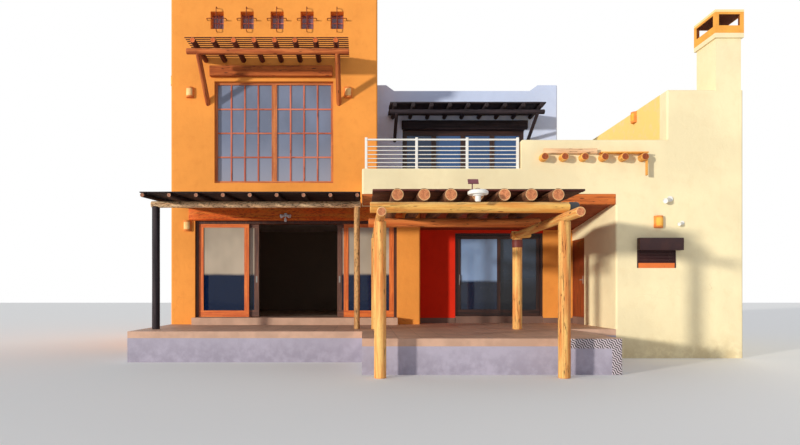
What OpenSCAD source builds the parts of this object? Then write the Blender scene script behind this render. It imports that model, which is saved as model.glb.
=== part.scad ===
// House in the adobe style: stucco tower, wing with a balcony over a recessed
// porch, set-back upper room, tall end block with a chimney, and two pergolas.
// Lengths are in millimetres. X runs along the front, +Y goes into the house
// and Z is up. The origin is on the sand, at the wing's left end, in the plane
// of the tower's front face.

/* [Plan] */
// Width of the tower
tower_w = 5736; // [5500:1:6600]
// How far the tower's right side stands to the right of the wing's left end
tower_overlap = 430; // [420:1:600]
// Depth of the house behind the tower's front face
house_depth = 7000; // [6000:10:9000]
// How far the wing's front stands before the tower's front
wing_reach = 2267; // [2100:1:2600]
// Width of the whole wing
wing_w = 9150; // [8900:1:10500]
// From the wing's left end to the side wall of the recess
recess_w = 6096; // [5900:1:6300]
// How far the back wall of the recess lies behind the tower's front
recess_depth = 730; // [650:1:1000]
// Width of the tall block at the wing's right end
tall_block_w = 1830; // [1700:1:2000]
// How far the upper room's front lies behind the tower's front
upper_setback = 1333; // [1250:1:1800]
// From the wing's left end to the upper room's right side
upper_room_right = 5860; // [5500:1:6400]
// Thickness of the outer walls
wall_t = 350; // [300:5:400]
// Thickness of the recess's back wall
recess_wall_t = 300; // [250:5:350]
// Thickness of the upper room's walls
upper_wall_t = 250; // [200:5:300]
// Thickness of the balcony parapet
parapet_t = 200; // [150:5:250]
// Radius of the stucco's rounded outer corners
corner_r = 45; // [20:5:60]

/* [Levels] */
// Height of the porch floor above the sand
porch_level = 695; // [600:5:750]
// Height of the ground floor above the porch
floor_level = 195; // [150:5:250]
// Height of the ground-floor ceiling above its floor
ceiling_level = 3055; // [3000:5:3120]
// Height of the balcony and the first floor above that ceiling
terrace_level = 355; // [300:5:400]
// Height of the tower's second floor above the first
second_level = 3600; // [3580:5:3800]
// Depth of the tower's roof below its parapet
tower_roof_level = 450; // [350:5:550]
// Height of the tower's parapet above its second floor
tower_top = 2500; // [2400:5:2900]
// Depth of the upper room's roof below its parapet
upper_roof_level = 275; // [200:5:325]
// Height of the upper room's parapet above the balcony
upper_top = 3325; // [3250:5:3400]
// Height of that parapet's raised corners above its middle
upper_corner_top = 175; // [125:5:275]
// Height of the balcony parapet's low part above the balcony
parapet_low_top = 260; // [200:5:350]
// Height of the balcony parapet's high part above the balcony
parapet_high_top = 950; // [850:5:1100]
// Depth of the tall block's roof below its parapet
tall_roof_level = 350; // [250:5:450]
// Height of the tall block's parapet above the balcony
tall_top = 2150; // [2050:5:2400]
// Thickness of the ground-floor slab
floor_t = 250; // [220:5:300]
// Thickness of the porch slab
porch_t = 150; // [100:5:200]
// Thickness of the second floor and the roofs
roof_t = 250; // [200:5:270]

/* [Porch] */
// How far the porch reaches before the tower
porch_reach = 3100; // [3000:1:3400]
// How far the porch reaches before the tower under the log pergola
log_porch_reach = 5200; // [5000:1:5400]
// Width of the porch under the log pergola
log_porch_w = 4970; // [4800:1:5400]
// Thickness of the porch's retaining walls
porch_wall_t = 200; // [150:5:250]
// Depth of the step before the tower doors
step_d = 350; // [250:5:400]

/* [Tower windows] */
// From the tower's left side to the large window
big_window_x = 1206; // [1000:1:1400]
// Width of the large window
big_window_w = 3303; // [3000:1:3500]
// Height of the large window
big_window_h = 2825; // [2600:1:2900]
// Height of the large window's sill above the first floor
big_window_sill = 320; // [250:1:400]
// How far the window frames stand behind the wall's face
window_inset = 100; // [60:5:150]
// Depth of a window frame
frame_d = 80; // [60:5:90]
// Width of the bars of a window frame
frame_w = 70; // [50:5:80]
// Width of the large window's middle post
mullion_w = 150; // [120:5:180]
// Number of small windows under the parapet
small_window_n = 5; // [3:1:5]
// From the tower's left side to the first small window's centre
small_window_x = 1282; // [1150:1:1400]
// Distance between the small windows' centres
small_window_pitch = 833; // [780:1:880]
// Width of a small window
small_window_w = 364; // [320:1:420]
// Height of a small window
small_window_h = 485; // [430:1:520]
// Height of the small windows' sill above the second floor
small_window_sill = 1000; // [900:5:1050]
// How far the small windows stand behind the wall's face
small_window_inset = 200; // [150:5:230]
// Diameter of the grilles' iron bars
grille_bar_d = 22; // [16:1:26]
// How far the grilles stand before the wall
grille_out = 120; // [80:5:150]
// How far a grille's bars run past the window on each side
grille_over = 85; // [60:5:110]
// Radius of the bends at the ends of a grille's bars
grille_bend_r = 40; // [30:5:50]
// Height of the box over the large window
window_box_h = 290; // [250:5:300]
// How far the box over the large window stands out
window_box_out = 150; // [100:5:200]

/* [Tower doors] */
// From the tower's left side to the doorway
door_x = 666; // [600:1:750]
// Width of the doorway
door_w = 5610; // [5500:1:5700]
// Height of the doorway's top above the floor
door_top = 2685; // [2660:1:2710]
// How far the header beam stands out from the wall
header_out = 100; // [60:5:140]
// How far the header beam bears on the wall at each end
header_bearing = 150; // [100:5:200]
// Width of the wall pier to the right of the doorway
pier_w = 650; // [600:1:700]
// Width of the door frame's bars
door_frame_w = 80; // [60:5:90]
// Depth of the door frame
door_frame_d = 200; // [190:5:220]
// How far the door frame stands behind the wall's face
door_inset = 80; // [60:5:100]
// Width of the uprights of a glass leaf
stile_w = 130; // [100:5:140]
// Height of a glass leaf's top rail
top_rail_h = 100; // [80:5:120]
// Height of a glass leaf's bottom rail
bottom_rail_h = 180; // [140:5:200]
// Thickness of a glass leaf
leaf_t = 50; // [40:1:55]
// Thickness of a pane
pane_t = 12; // [8:1:20]
// How far a sliding leaf overlaps the fixed one when shut
leaf_overlap = 75; // [60:5:100]
// How far the left sliding leaf stands open
left_leaf_open = 1050; // [900:1:1200]
// How far the right sliding leaf stands open
right_leaf_open = 1136; // [900:1:1200]

/* [Recess doors] */
// From the wing's left end to the glass doors of the recess
recess_door_x = 2700; // [2600:1:2800]
// Width of the recess's doorway
recess_door_w = 2550; // [2450:1:2650]
// Height of the recess's doorway above the floor
recess_door_top = 2410; // [2310:1:2460]
// Depth of the recess's door frame
recess_frame_d = 160; // [150:5:200]
// Width of the side doorway
side_door_w = 940; // [880:1:1000]
// Height of the side doorway above the floor
side_door_top = 2190; // [2110:1:2260]
// Depth of the side door's frame
side_frame_d = 120; // [90:5:150]
// Height of the timber beam along the recess's front
porch_beam_h = 252; // [220:1:280]
// Height of the boarded soffit's back edge above the floor
soffit_back = 2500; // [2460:1:2610]

/* [Upper room] */
// From the tower's right side to the upper doorway
upper_door_x = 785; // [700:1:900]
// Width of the upper doorway
upper_door_w = 3665; // [3500:1:3800]
// Height of the upper doorway above the balcony
upper_door_top = 2165; // [2100:1:2180]
// Height of the header beam over the upper doorway
upper_header_h = 265; // [240:1:280]
// Width of the parapet's raised corners
upper_corner_w = 590; // [500:1:800]
// Width of the slope between corner and parapet
upper_slope_w = 240; // [150:1:350]

/* [Wing details] */
// Left edge of the shutter window from the recess's side wall
shutter_x = 504; // [450:1:600]
// Width of the shutter window
shutter_w = 930; // [800:1:1000]
// Height of the shutter window's sill above the floor
shutter_sill = 1275; // [1110:1:1360]
// Height of the shutter window
shutter_top = 420; // [350:1:500]
// Height of the shutter's box
shutter_box_h = 295; // [250:1:320]
// Where the high part of the balcony parapet starts
parapet_step_x = 3828; // [3600:1:3950]
// Width of the chimney shaft
chimney_w = 600; // [550:1:700]
// Depth of the chimney shaft
chimney_d = 830; // [700:1:900]
// From the wing's right end to the chimney
chimney_inset = 55; // [40:1:100]
// Height of the chimney shaft above the tall block's parapet
chimney_top = 1230; // [950:1:1450]
// Height of the band round the chimney's top
chimney_band_h = 110; // [90:1:140]
// Height of the chimney's cap
chimney_cap_h = 560; // [500:1:640]
// Thickness of the cap's piers
cap_pier_t = 90; // [80:1:130]
// Thickness of the cap's top
cap_top_t = 110; // [90:1:150]
// Height of the cap's band below its openings
cap_band_h = 180; // [150:1:220]
// How far band and cap stand out from the shaft
chimney_cap_out = 45; // [30:1:60]
// Thickness of the flue's wall
flue_wall_t = 150; // [100:5:200]
// How far the flue's foot lies above the tall block's parapet
flue_foot = 300; // [200:5:500]
// Diameter of the logs that stand out of the parapet
wall_viga_d = 190; // [150:1:210]
// How far those logs stand out
wall_viga_out = 210; // [200:1:400]
// Height of those logs' centre line above the balcony
wall_viga_z = 498; // [400:1:550]
// Where the first of those logs stands
wall_viga_x = 4331; // [4200:1:4400]
// Distance between those logs
wall_viga_pitch = 475; // [440:1:500]
// Number of logs that stand out of the parapet
wall_viga_n = 6; // [4:1:6]
// Thickness of the boards on those logs
viga_board_t = 30; // [20:1:40]
// Height of the board that stands on the first logs
viga_board_h = 125; // [100:1:180]
// Width of the board that lies on the last logs
viga_plank_w = 180; // [120:1:190]
// How far the lying board runs past the logs that carry it
viga_board_over = 90; // [60:1:150]
// How far the standing board runs past the third log
viga_board_end = 330; // [150:1:360]
// Height of the board that hangs beside the last log
viga_tag_h = 435; // [300:1:450]
// Width of the board that hangs beside the last log
viga_tag_w = 90; // [60:1:120]

/* [Tower awning] */
// Diameter of the awning's beam
awning_beam_d = 165; // [140:1:190]
// Depth of the awning beam's centre line below the second floor
awning_beam_z = 25; // [10:1:60]
// How far the awning's beam stands before the wall
awning_beam_out = 1000; // [900:1:1100]
// Where the awning's beam starts, from the tower's left side
awning_x = 726; // [650:1:850]
// Length of the awning's beam
awning_w = 4240; // [4100:1:4400]
// Diameter of the awning's rafters
awning_rafter_d = 150; // [130:1:170]
// How far the awning's rafters stand before the wall
awning_out = 1350; // [1250:1:1500]
// Number of rafters in the awning
awning_rafter_n = 8; // [6:1:9]
// Distance from the beam's end to the first rafter
awning_rafter_inset = 250; // [200:1:300]
// Number of slats on the awning
awning_slat_n = 11; // [6:1:14]
// Width of a slat
awning_slat_w = 45; // [35:1:80]
// Thickness of a slat
awning_slat_t = 20; // [15:1:30]
// Diameter of the awning's braces
brace_d = 140; // [100:1:155]
// Height of the foot of the tower awning's braces above the first floor
brace_foot_z = 2550; // [2400:1:2700]
// Distance from the beam's end to the brace
brace_inset = 300; // [250:1:380]

/* [Upper awning] */
// Diameter of the upper awning's beam
upper_beam_d = 145; // [120:1:160]
// Height of the upper awning beam's centre line above the balcony
upper_beam_z = 2400; // [2350:1:2450]
// How far the upper awning's beam stands before its wall
upper_beam_out = 1000; // [900:1:1050]
// Where the upper awning's beam starts, from the tower's right side
upper_awning_x = 350; // [300:1:450]
// Length of the upper awning's beam
upper_awning_w = 4390; // [4200:1:4500]
// Diameter of the upper awning's rafters
upper_rafter_d = 120; // [100:1:140]
// How far the upper awning's rafters stand before their wall
upper_awning_out = 1253; // [1150:1:1300]
// Number of rafters in the upper awning
upper_rafter_n = 9; // [7:1:10]
// Thickness of the upper awning's boards
upper_board_t = 40; // [30:1:50]
// Height of the foot of the upper awning's braces above the balcony
upper_brace_foot_z = 1820; // [1700:1:1900]

/* [Dark pergola] */
// Diameter of the dark pergola's left post
shade_post_left_d = 190; // [160:1:210]
// Diameter of the dark pergola's right post
shade_post_right_d = 145; // [130:1:165]
// Diameter of the dark pergola's beam
shade_beam_d = 167; // [150:1:190]
// Height of the dark pergola beam's centre line above the porch
shade_beam_z = 3009; // [2985:1:3035]
// How far that beam stands before the tower
shade_beam_out = 2167; // [2050:1:2300]
// Gap between the dark pergola's beam and the wing's left end
shade_beam_x = 30; // [20:1:60]
// Length of the dark pergola's beam
shade_beam_w = 5057; // [5000:1:5100]
// Diameter of the dark pergola's rafters
shade_rafter_d = 100; // [80:1:110]
// How far the dark pergola's rafters reach before the tower
shade_reach = 3067; // [2950:1:3090]
// Height of the rafters' front ends above the beam's centre line
shade_tip_z = 82; // [76:1:96]
// Height of the rafters' back ends above the beam's centre line
shade_back_z = 286; // [281:1:316]
// Number of rafters in the dark pergola
shade_rafter_n = 9; // [7:1:10]
// Thickness of the dark pergola's roof
shade_roof_t = 35; // [25:1:50]

/* [Log pergola] */
// From the wing's left end to the left posts
log_post_x = 335; // [300:1:450]
// Distance between the left and right posts
log_post_span = 3392; // [3250:1:3450]
// How far the front posts stand before the porch
log_front = 417; // [350:1:500]
// Diameter of the log pergola's posts
log_post_d = 230; // [200:1:260]
// Diameter of the side beams
side_beam_d = 180; // [160:1:200]
// Height of the side beams' centre line above the porch
side_beam_z = 2258; // [2205:1:2305]
// How far the side beams run past the front posts
side_beam_over = 830; // [700:1:950]
// How far the side beams run in under the balcony
side_beam_in = 260; // [200:1:400]
// Diameter of the cross logs
cross_log_d = 210; // [190:1:230]
// Length of the cross logs
cross_log_w = 3833; // [3750:1:3900]
// How far the cross logs run past the left side beam
cross_log_over = 188; // [160:1:220]
// How far the rear cross log stands before the tower
cross_log_rear = 3200; // [3000:1:3400]
// Diameter of the log pergola's vigas
viga_d = 248; // [220:1:260]
// Number of vigas
viga_n = 7; // [5:1:7]
// Distance between the vigas
viga_pitch = 489; // [460:1:500]
// From the wing's left end to the first viga
viga_x = 648; // [600:1:700]
// How far the vigas reach past the front posts
viga_reach = 108; // [90:1:230]
// Thickness of the deck on the vigas
deck_t = 40; // [30:1:60]
// From the wing's left end to the deck
deck_x = 200; // [150:1:300]
// Width of the deck
deck_w = 4005; // [3850:1:4100]
// How far the deck reaches before the tower
deck_reach = 5370; // [5300:1:5500]
// Depth of a saddle notch where one log lies on another
notch = 8; // [5:1:12]

/* [Railing and lamps] */
// Width of the railing's posts
rail_post_w = 60; // [40:1:70]
// Height of the railing above the parapet
rail_h = 760; // [650:1:850]
// Diameter of the railing's top rail
rail_top_d = 45; // [35:1:50]
// Diameter of the railing's thin rails
rail_d = 22; // [16:1:28]
// Number of thin rails
rail_n = 6; // [4:1:6]
// Height of the lowest rail above the parapet
rail_foot = 60; // [50:1:90]
// How far the uppermost thin rail lies below the top rail
rail_head = 165; // [120:1:200]
// How far the top rail lies below the posts' tops
rail_post_over = 50; // [30:1:60]
// From the railing's last post to the parapet's step
rail_end_gap = 70; // [60:1:90]
// Width of a wall lamp
lamp_w = 280; // [240:1:320]
// Height of a wall lamp
lamp_h = 290; // [250:1:330]
// Thickness of a wall lamp's shell
lamp_t = 20; // [12:1:30]
// From the tower's left side to the lamp left of the large window
lamp_left_x = 530; // [450:1:600]
// From the tower's left side to the lamp right of the large window
lamp_right_x = 4920; // [4850:1:5050]
// Height of the foot of the lamps beside the large window above the first floor
lamp_z = 2680; // [2600:1:2800]
// From the tower's left side to the lamp beside the doors
door_lamp_x = 461; // [350:1:480]
// How far the lamp on the tower's left side stands behind its front
side_lamp_y = 350; // [300:1:500]
// Height of the foot of the lamp on the tower's left side above the first floor
side_lamp_z = 3120; // [3000:1:3200]
// From the recess's side wall to the lamp over the shutter
shutter_lamp_x = 1014; // [900:1:1100]
// Height of the foot of the lamp over the shutter above the ground floor
shutter_lamp_z = 2235; // [2160:1:2310]
// How far the lamp on the tall block stands behind the wing's front
tall_lamp_y = 1687; // [1500:1:1800]
// Depth of the foot of the tall block's lamp below the parapet
tall_lamp_z = 330; // [310:1:450]

/* [Fits] */
// Gap between a log and the piece that it lies in or on
seat_gap = 0.3; // [0.2:0.1:0.5]
// Gap on each side of a moving leaf
leaf_gap = 6; // [5:0.5:8]

/* [Hidden] */
$fn = 48;

// Heights above the sand
floor_z = porch_level + floor_level;
ceiling_z = floor_z + ceiling_level;
terrace_z = ceiling_z + terrace_level;
second_z = terrace_z + second_level;
tower_top_z = second_z + tower_top;
tower_roof_z = tower_top_z - tower_roof_level;
upper_top_z = terrace_z + upper_top;
upper_corner_z = upper_top_z + upper_corner_top;
upper_roof_z = upper_top_z - upper_roof_level;
parapet_low_z = terrace_z + parapet_low_top;
parapet_high_z = terrace_z + parapet_high_top;
tall_top_z = terrace_z + tall_top;
tall_roof_z = tall_top_z - tall_roof_level;
big_window_z = terrace_z + big_window_sill;
small_window_z = second_z + small_window_sill;
door_top_z = floor_z + door_top;
recess_door_z = floor_z + recess_door_top;
side_door_z = floor_z + side_door_top;
soffit_z = floor_z + soffit_back;
upper_door_z = terrace_z + upper_door_top;
shutter_z = floor_z + shutter_sill;
shutter_top_z = shutter_z + shutter_top;
chimney_z = tall_top_z + chimney_top;
wall_viga_at_z = terrace_z + wall_viga_z;
awning_beam_up = second_z - awning_beam_z;
brace_foot_up = terrace_z + brace_foot_z;
upper_beam_up = terrace_z + upper_beam_z;
upper_brace_foot_up = terrace_z + upper_brace_foot_z;
shade_beam_up = porch_level + shade_beam_z;
shade_tip_up = shade_beam_up + shade_tip_z;
shade_back_up = shade_beam_up + shade_back_z;
side_beam_up = porch_level + side_beam_z;
lamp_up = terrace_z + lamp_z;
side_lamp_up = terrace_z + side_lamp_z;
shutter_lamp_up = floor_z + shutter_lamp_z;
tall_lamp_up = tall_top_z - tall_lamp_z;

// Plan lines that several pieces share
tower_right = tower_overlap;
tower_left = tower_right - tower_w;
back = house_depth;
back_in = back - wall_t;
wing_front = -wing_reach;
wing_front_in = wing_front + wall_t;
parapet_in = wing_front + parapet_t;
wing_right_in = wing_w - wall_t;
recess_back_in = recess_depth + recess_wall_t;
side_wall_in = recess_w + wall_t;
upper_in = upper_setback + upper_wall_t;
upper_side_in = upper_room_right - upper_wall_t;
tall_left = wing_w - tall_block_w;
tall_left_in = tall_left + wall_t;
tower_side_in = tower_left + wall_t;
tower_right_in = tower_right - wall_t;

// Doorways
door_left = tower_left + door_x;
door_right = door_left + door_w;
pier_right = door_right + pier_w;
recess_door_right = recess_door_x + recess_door_w;
side_door_y1 = recess_depth;
side_door_y0 = side_door_y1 - side_door_w;
upper_door_left = tower_right + upper_door_x;
upper_door_right = upper_door_left + upper_door_w;

// Sliding leaves of the tower doors
door_clear_left = door_left + door_frame_w;
door_clear_right = door_right - door_frame_w;
door_mid = (door_clear_left + door_clear_right) / 2;
leaf_w = ((door_clear_right - door_clear_left) / 2 + leaf_overlap) / 2;
track_h = 12;
leaf_z0 = floor_z + track_h + leaf_gap;
leaf_z1 = door_top_z - door_frame_w - leaf_gap;
fixed_leaf_y = door_inset + 25;
sliding_leaf_y = fixed_leaf_y + leaf_t + 15;
left_leaf_x = door_mid - leaf_gap - leaf_w - left_leaf_open;
right_leaf_x = door_mid + leaf_gap + right_leaf_open;
runner_d = 40;
runner_w = 14;

// Sliding leaf of the recess doors
recess_frame_w = 60;
recess_frame_y = recess_depth + 40;
recess_leaf_w = (recess_door_w - 2 * recess_frame_w + 100) / 2;
recess_leaf_x = recess_door_x + recess_frame_w + leaf_gap;
recess_fixed_x = recess_door_right - recess_frame_w - recess_leaf_w;
recess_leaf_y = recess_frame_y + 20;
recess_fixed_y = recess_leaf_y + leaf_t + 15;
recess_leaf_z1 = recess_door_z - recess_frame_w - leaf_gap;

// Side door: the leaf turns on pins at its far edge
side_leaf_x = recess_w + 20;
side_leaf_y0 = side_door_y0 + door_frame_w + leaf_gap;
side_leaf_y1 = side_door_y1 - door_frame_w - leaf_gap;
side_leaf_z1 = side_door_z - door_frame_w - leaf_gap;
hinge_r = 11;
hinge_h = 100;
hinge_x = side_leaf_x + leaf_t + hinge_r + 1;
hinge_y = side_door_y1 - door_frame_w - hinge_r - 2;

// A second storey of like windows for the sides that the front doesn't show
plain_window_w = 1200;
plain_window_h = 1200;
plain_sill_h = 900;
plain_depth_y = (wall_t + back_in) / 2;
tower_mid = (tower_left + tower_right) / 2;
upper_mid = (tower_right + upper_room_right) / 2;
block_mid = (side_wall_in + wing_right_in) / 2;
TOWER_REAR = [[tower_mid, terrace_z]];
WING_REAR = [[upper_mid, floor_z], [upper_mid, terrace_z], [block_mid, floor_z]];
TOWER_SIDE = [[plain_depth_y, floor_z], [plain_depth_y, terrace_z]];

// Awnings
awning_left = tower_left + awning_x;
awning_rafter_z = awning_beam_up + (awning_beam_d + awning_rafter_d) / 2 - notch;
upper_awning_left = tower_right + upper_awning_x;
upper_rafter_z = upper_beam_up + (upper_beam_d + upper_rafter_d) / 2 - notch;

// Dark pergola
shade_beam_left = -shade_beam_x - shade_beam_w;
shade_slope = atan2(shade_back_up - shade_tip_up, shade_reach);
shade_first = shade_beam_left + 101;
shade_last = shade_beam_left + shade_beam_w - 77;

// Log pergola
log_front_y = -log_porch_reach - log_front;
viga_front_y = log_front_y - viga_reach;
cross_log_z = side_beam_up + (side_beam_d + cross_log_d) / 2 - notch;
viga_z = cross_log_z + (cross_log_d + viga_d) / 2 - notch;
viga_back = -wing_reach - 130;
cross_log_x = log_post_x - cross_log_over;
deck_z = viga_z + viga_d / 2 + seat_gap;

// Chimney
chimney_right = wing_w - chimney_inset;
chimney_left = chimney_right - chimney_w;
chimney_back = wing_front + chimney_d;

// Colours, as the house shows them
ORANGE = "#f7a047";
CREAM = "#fbeec2";
WHITE = "#eceae6";
RED = "#a8200f";
FLOOR = "#b9aa98";
WOOD = "#c98342";
DARK_WOOD = "#3c2019";
FRAME_WOOD = "#a85c30";
STEEL = "#f2f2ee";
IRON = "#3a2018";
GLASS = "#8fa0b4";

// A box between two corners
module block(x0, x1, y0, y1, z0, z1) {
    translate([x0, y0, z0]) cube([x1 - x0, y1 - y0, z1 - z0]);
}

// What a rounded corner at [x, y] leaves out; sx and sy point into the wall
module round_off(x, y, sx, sy) {
    difference() {
        translate([x - (sx < 0 ? corner_r : 1), y - (sy < 0 ? corner_r : 1)])
            square(corner_r + 1);
        translate([x + sx * corner_r, y + sy * corner_r]) circle(corner_r);
    }
}

// The same along an upright edge
module edge_z(x, y, sx, sy, z0, z1) {
    translate([0, 0, z0]) linear_extrude(z1 - z0) round_off(x, y, sx, sy);
}

// The same along a top edge in the X direction
module edge_x(x0, x1, y, z, sy) {
    translate([x0, 0, 0]) rotate([90, 0, 90]) linear_extrude(x1 - x0)
        round_off(y, z, sy, -1);
}

// The same along a top edge in the Y direction
module edge_y(x, y0, y1, z, sx) {
    translate([0, y1, 0]) rotate([90, 0, 0]) linear_extrude(y1 - y0)
        round_off(x, z, sx, -1);
}

// A log along X
module log_x(x0, x1, y, z, d) {
    translate([x0, y, z]) rotate([0, 90, 0]) cylinder(h = x1 - x0, d = d);
}

// A log along Y
module log_y(x, y0, y1, z, d) {
    translate([x, y0, z]) rotate([-90, 0, 0]) cylinder(h = y1 - y0, d = d);
}

// A standing log
module log_z(x, y, z0, z1, d) {
    translate([x, y, z0]) cylinder(h = z1 - z0, d = d);
}

// An upright frame in the XZ plane with bars of two widths
module frame_xz(x0, x1, y, d, z0, z1, side, top, bottom) {
    difference() {
        block(x0, x1, y, y + d, z0, z1);
        block(x0 + side, x1 - side, y - 1, y + d + 1, z0 + bottom, z1 - top);
    }
}

// A pane in the middle of a frame's depth
module pane_xz(x0, x1, y, d, z0, z1) {
    block(x0, x1, y + (d - pane_t) / 2, y + (d + pane_t) / 2, z0, z1);
}

function spread(first, last, n, i) = first + (last - first) * i / (n - 1);
function small_window_mid(i) = tower_left + small_window_x + i * small_window_pitch;
function awning_rafter_at(i) = spread(
    awning_left + awning_rafter_inset,
    awning_left + awning_w - awning_rafter_inset - 80, awning_rafter_n, i);
function upper_rafter_at(i) = spread(
    upper_awning_left + 140, upper_awning_left + upper_awning_w - 140, upper_rafter_n, i);
function shade_rafter_at(i) = spread(shade_first, shade_last, shade_rafter_n, i);
function wall_viga_at(i) = wall_viga_x + i * wall_viga_pitch;

// Holes for plain windows in a wall that faces +Y or -Y
module holes_xz(windows, y0, y1) {
    for (w = windows)
        block(w[0] - plain_window_w / 2, w[0] + plain_window_w / 2, y0, y1,
              w[1] + plain_sill_h, w[1] + plain_sill_h + plain_window_h);
}

// The same in a wall that faces +X or -X
module holes_yz(windows, x0, x1) {
    for (w = windows)
        block(x0, x1, w[0] - plain_window_w / 2, w[0] + plain_window_w / 2,
              w[1] + plain_sill_h, w[1] + plain_sill_h + plain_window_h);
}

// Rounded edges of the tower's parapet and corners
module tower_edges() {
    edge_x(tower_left - 1, tower_right + 1, 0, tower_top_z, 1);
    edge_x(tower_left - 1, tower_right + 1, back, tower_top_z, -1);
    edge_y(tower_left, -1, back + 1, tower_top_z, 1);
    edge_y(tower_right, -1, back + 1, tower_top_z, -1);
    edge_z(tower_left, 0, 1, 1, porch_level, tower_top_z + 1);
    edge_z(tower_left, back, 1, -1, 0, tower_top_z + 1);
    edge_z(tower_right, 0, -1, 1, parapet_low_z, tower_top_z + 1);
}

module tower_front_wall() {
    color(ORANGE) difference() {
        block(tower_left, tower_right, 0, wall_t, ceiling_z, tower_top_z);
        tower_edges();
        block(tower_left + big_window_x, tower_left + big_window_x + big_window_w,
              -1, wall_t + 1, big_window_z, big_window_z + big_window_h);
        for (i = [0 : small_window_n - 1])
            block(small_window_mid(i) - small_window_w / 2,
                  small_window_mid(i) + small_window_w / 2, -1, wall_t + 1,
                  small_window_z, small_window_z + small_window_h);
    }
}

module tower_side_walls() {
    color(ORANGE) difference() {
        union() {
            block(tower_left, tower_side_in, wall_t, back_in, 0, tower_top_z);
            block(tower_right_in, tower_right, wall_t, back_in, terrace_z, tower_top_z);
        }
        holes_yz(TOWER_SIDE, tower_left - 1, tower_side_in + 1);
        tower_edges();
    }
}

module tower_back_wall() {
    color(ORANGE) difference() {
        block(tower_left, tower_right, back_in, back, 0, tower_top_z);
        holes_xz(TOWER_REAR, back_in - 1, back + 1);
        tower_edges();
    }
}

module door_side_walls() {
    color(ORANGE) difference() {
        union() {
            block(tower_left, door_left, 0, wall_t, 0, ceiling_z);
            block(door_right, pier_right, 0, recess_back_in, 0, ceiling_z);
        }
        block(door_left - header_bearing, door_right + header_bearing,
              -1, wall_t, door_top_z, ceiling_z + 1);
        edge_z(tower_left, 0, 1, 1, porch_level, ceiling_z + 1);
        edge_z(pier_right, 0, -1, 1, porch_level, ceiling_z + 1);
    }
}

module upper_front_wall() {
    color(WHITE) difference() {
        translate([0, upper_in, 0]) rotate([90, 0, 0]) linear_extrude(upper_wall_t) polygon([
            [tower_right, terrace_z],
            [upper_room_right, terrace_z],
            [upper_room_right, upper_corner_z],
            [upper_room_right - upper_corner_w, upper_corner_z],
            [upper_room_right - upper_corner_w - upper_slope_w, upper_top_z],
            [tower_right + upper_corner_w / 2 + upper_slope_w, upper_top_z],
            [tower_right + upper_corner_w / 2, upper_corner_z],
            [tower_right, upper_corner_z]
        ]);
        block(upper_door_left, upper_door_right, upper_setback - 1, upper_in + 1,
              terrace_z - 1, upper_door_z);
        block(upper_door_left - 25, upper_door_right + 80, upper_setback - 1, upper_in + 1,
              upper_door_z, upper_door_z + upper_header_h);
        edge_y(upper_room_right, upper_setback - 1, upper_in + 1, upper_corner_z, -1);
        edge_z(upper_room_right, upper_setback, -1, 1, terrace_z, upper_corner_z + 1);
    }
}

module terrace_side_walls() {
    color(WHITE)
        block(upper_side_in, upper_room_right, upper_in, back_in, terrace_z, upper_top_z);
    color(CREAM) difference() {
        block(tall_left, tall_left_in, wing_front_in, back_in, terrace_z, tall_top_z);
        tall_edges();
    }
}

// Rounded edges of the tall block and the wing's right corners
module tall_edges() {
    edge_x(tall_left - 1, chimney_left, wing_front, tall_top_z, 1);
    edge_x(chimney_right, wing_w + 1, wing_front, tall_top_z, 1);
    edge_x(tall_left - 1, wing_w + 1, back, tall_top_z, -1);
    edge_y(tall_left, wing_front - 1, back + 1, tall_top_z, 1);
    edge_y(wing_w, wing_front - 1, back + 1, tall_top_z, -1);
    edge_z(tall_left, wing_front, 1, 1, parapet_high_z, tall_top_z + 1);
    edge_z(wing_w, wing_front, -1, 1, 0, tall_top_z + 1);
    edge_z(wing_w, back, -1, -1, 0, tall_top_z + 1);
}

module wing_front_wall() {
    color(CREAM) difference() {
        union() {
            block(recess_w, wing_w, wing_front, wing_front_in, 0, ceiling_z);
            block(tall_left, wing_w, wing_front, wing_front_in, ceiling_z, tall_top_z);
        }
        block(recess_w + shutter_x, recess_w + shutter_x + shutter_w,
              wing_front - 1, wing_front_in + 1, shutter_z, shutter_top_z);
        edge_z(recess_w, wing_front, 1, 1, porch_level, ceiling_z - porch_beam_h);
        tall_edges();
    }
}

module wing_right_wall() {
    color(CREAM) difference() {
        block(wing_right_in, wing_w, wing_front_in, back_in, 0, tall_top_z);
        tall_edges();
    }
}

module wing_back_wall() {
    color(CREAM) difference() {
        translate([0, back, 0]) rotate([90, 0, 0]) linear_extrude(wall_t) polygon([
            [tower_right, 0],
            [wing_w, 0],
            [wing_w, tall_top_z],
            [tall_left, tall_top_z],
            [tall_left, parapet_high_z],
            [upper_room_right, parapet_high_z],
            [upper_room_right, upper_top_z],
            [tower_right, upper_top_z]
        ]);
        holes_xz(WING_REAR, back_in - 1, back + 1);
        tall_edges();
    }
}

module recess_walls() {
    color(RED)
        block(pier_right, recess_door_x, recess_depth, recess_back_in, 0, ceiling_z);
    color(ORANGE)
        block(recess_door_right, side_wall_in, recess_depth, recess_back_in,
              0, ceiling_z);
}

module recess_side_wall() {
    color(CREAM)
        block(recess_w, side_wall_in, wing_front_in, side_door_y0, 0, ceiling_z);
}

module door_lintels() {
    color(RED)
        block(recess_door_x, recess_door_right, recess_depth, recess_back_in,
              recess_door_z, ceiling_z);
    color(CREAM)
        block(recess_w, side_wall_in, side_door_y0, side_door_y1,
              side_door_z, ceiling_z);
}

// Footings under the doorways, up to the floor slab
module sill_walls() {
    color(ORANGE) {
        block(door_left, door_right, 0, wall_t, 0, floor_z - floor_t);
        block(recess_door_x, recess_door_right, recess_depth, recess_back_in,
              0, floor_z - floor_t);
        block(recess_w, side_wall_in, side_door_y0, side_door_y1,
              0, floor_z - floor_t);
    }
}

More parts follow.
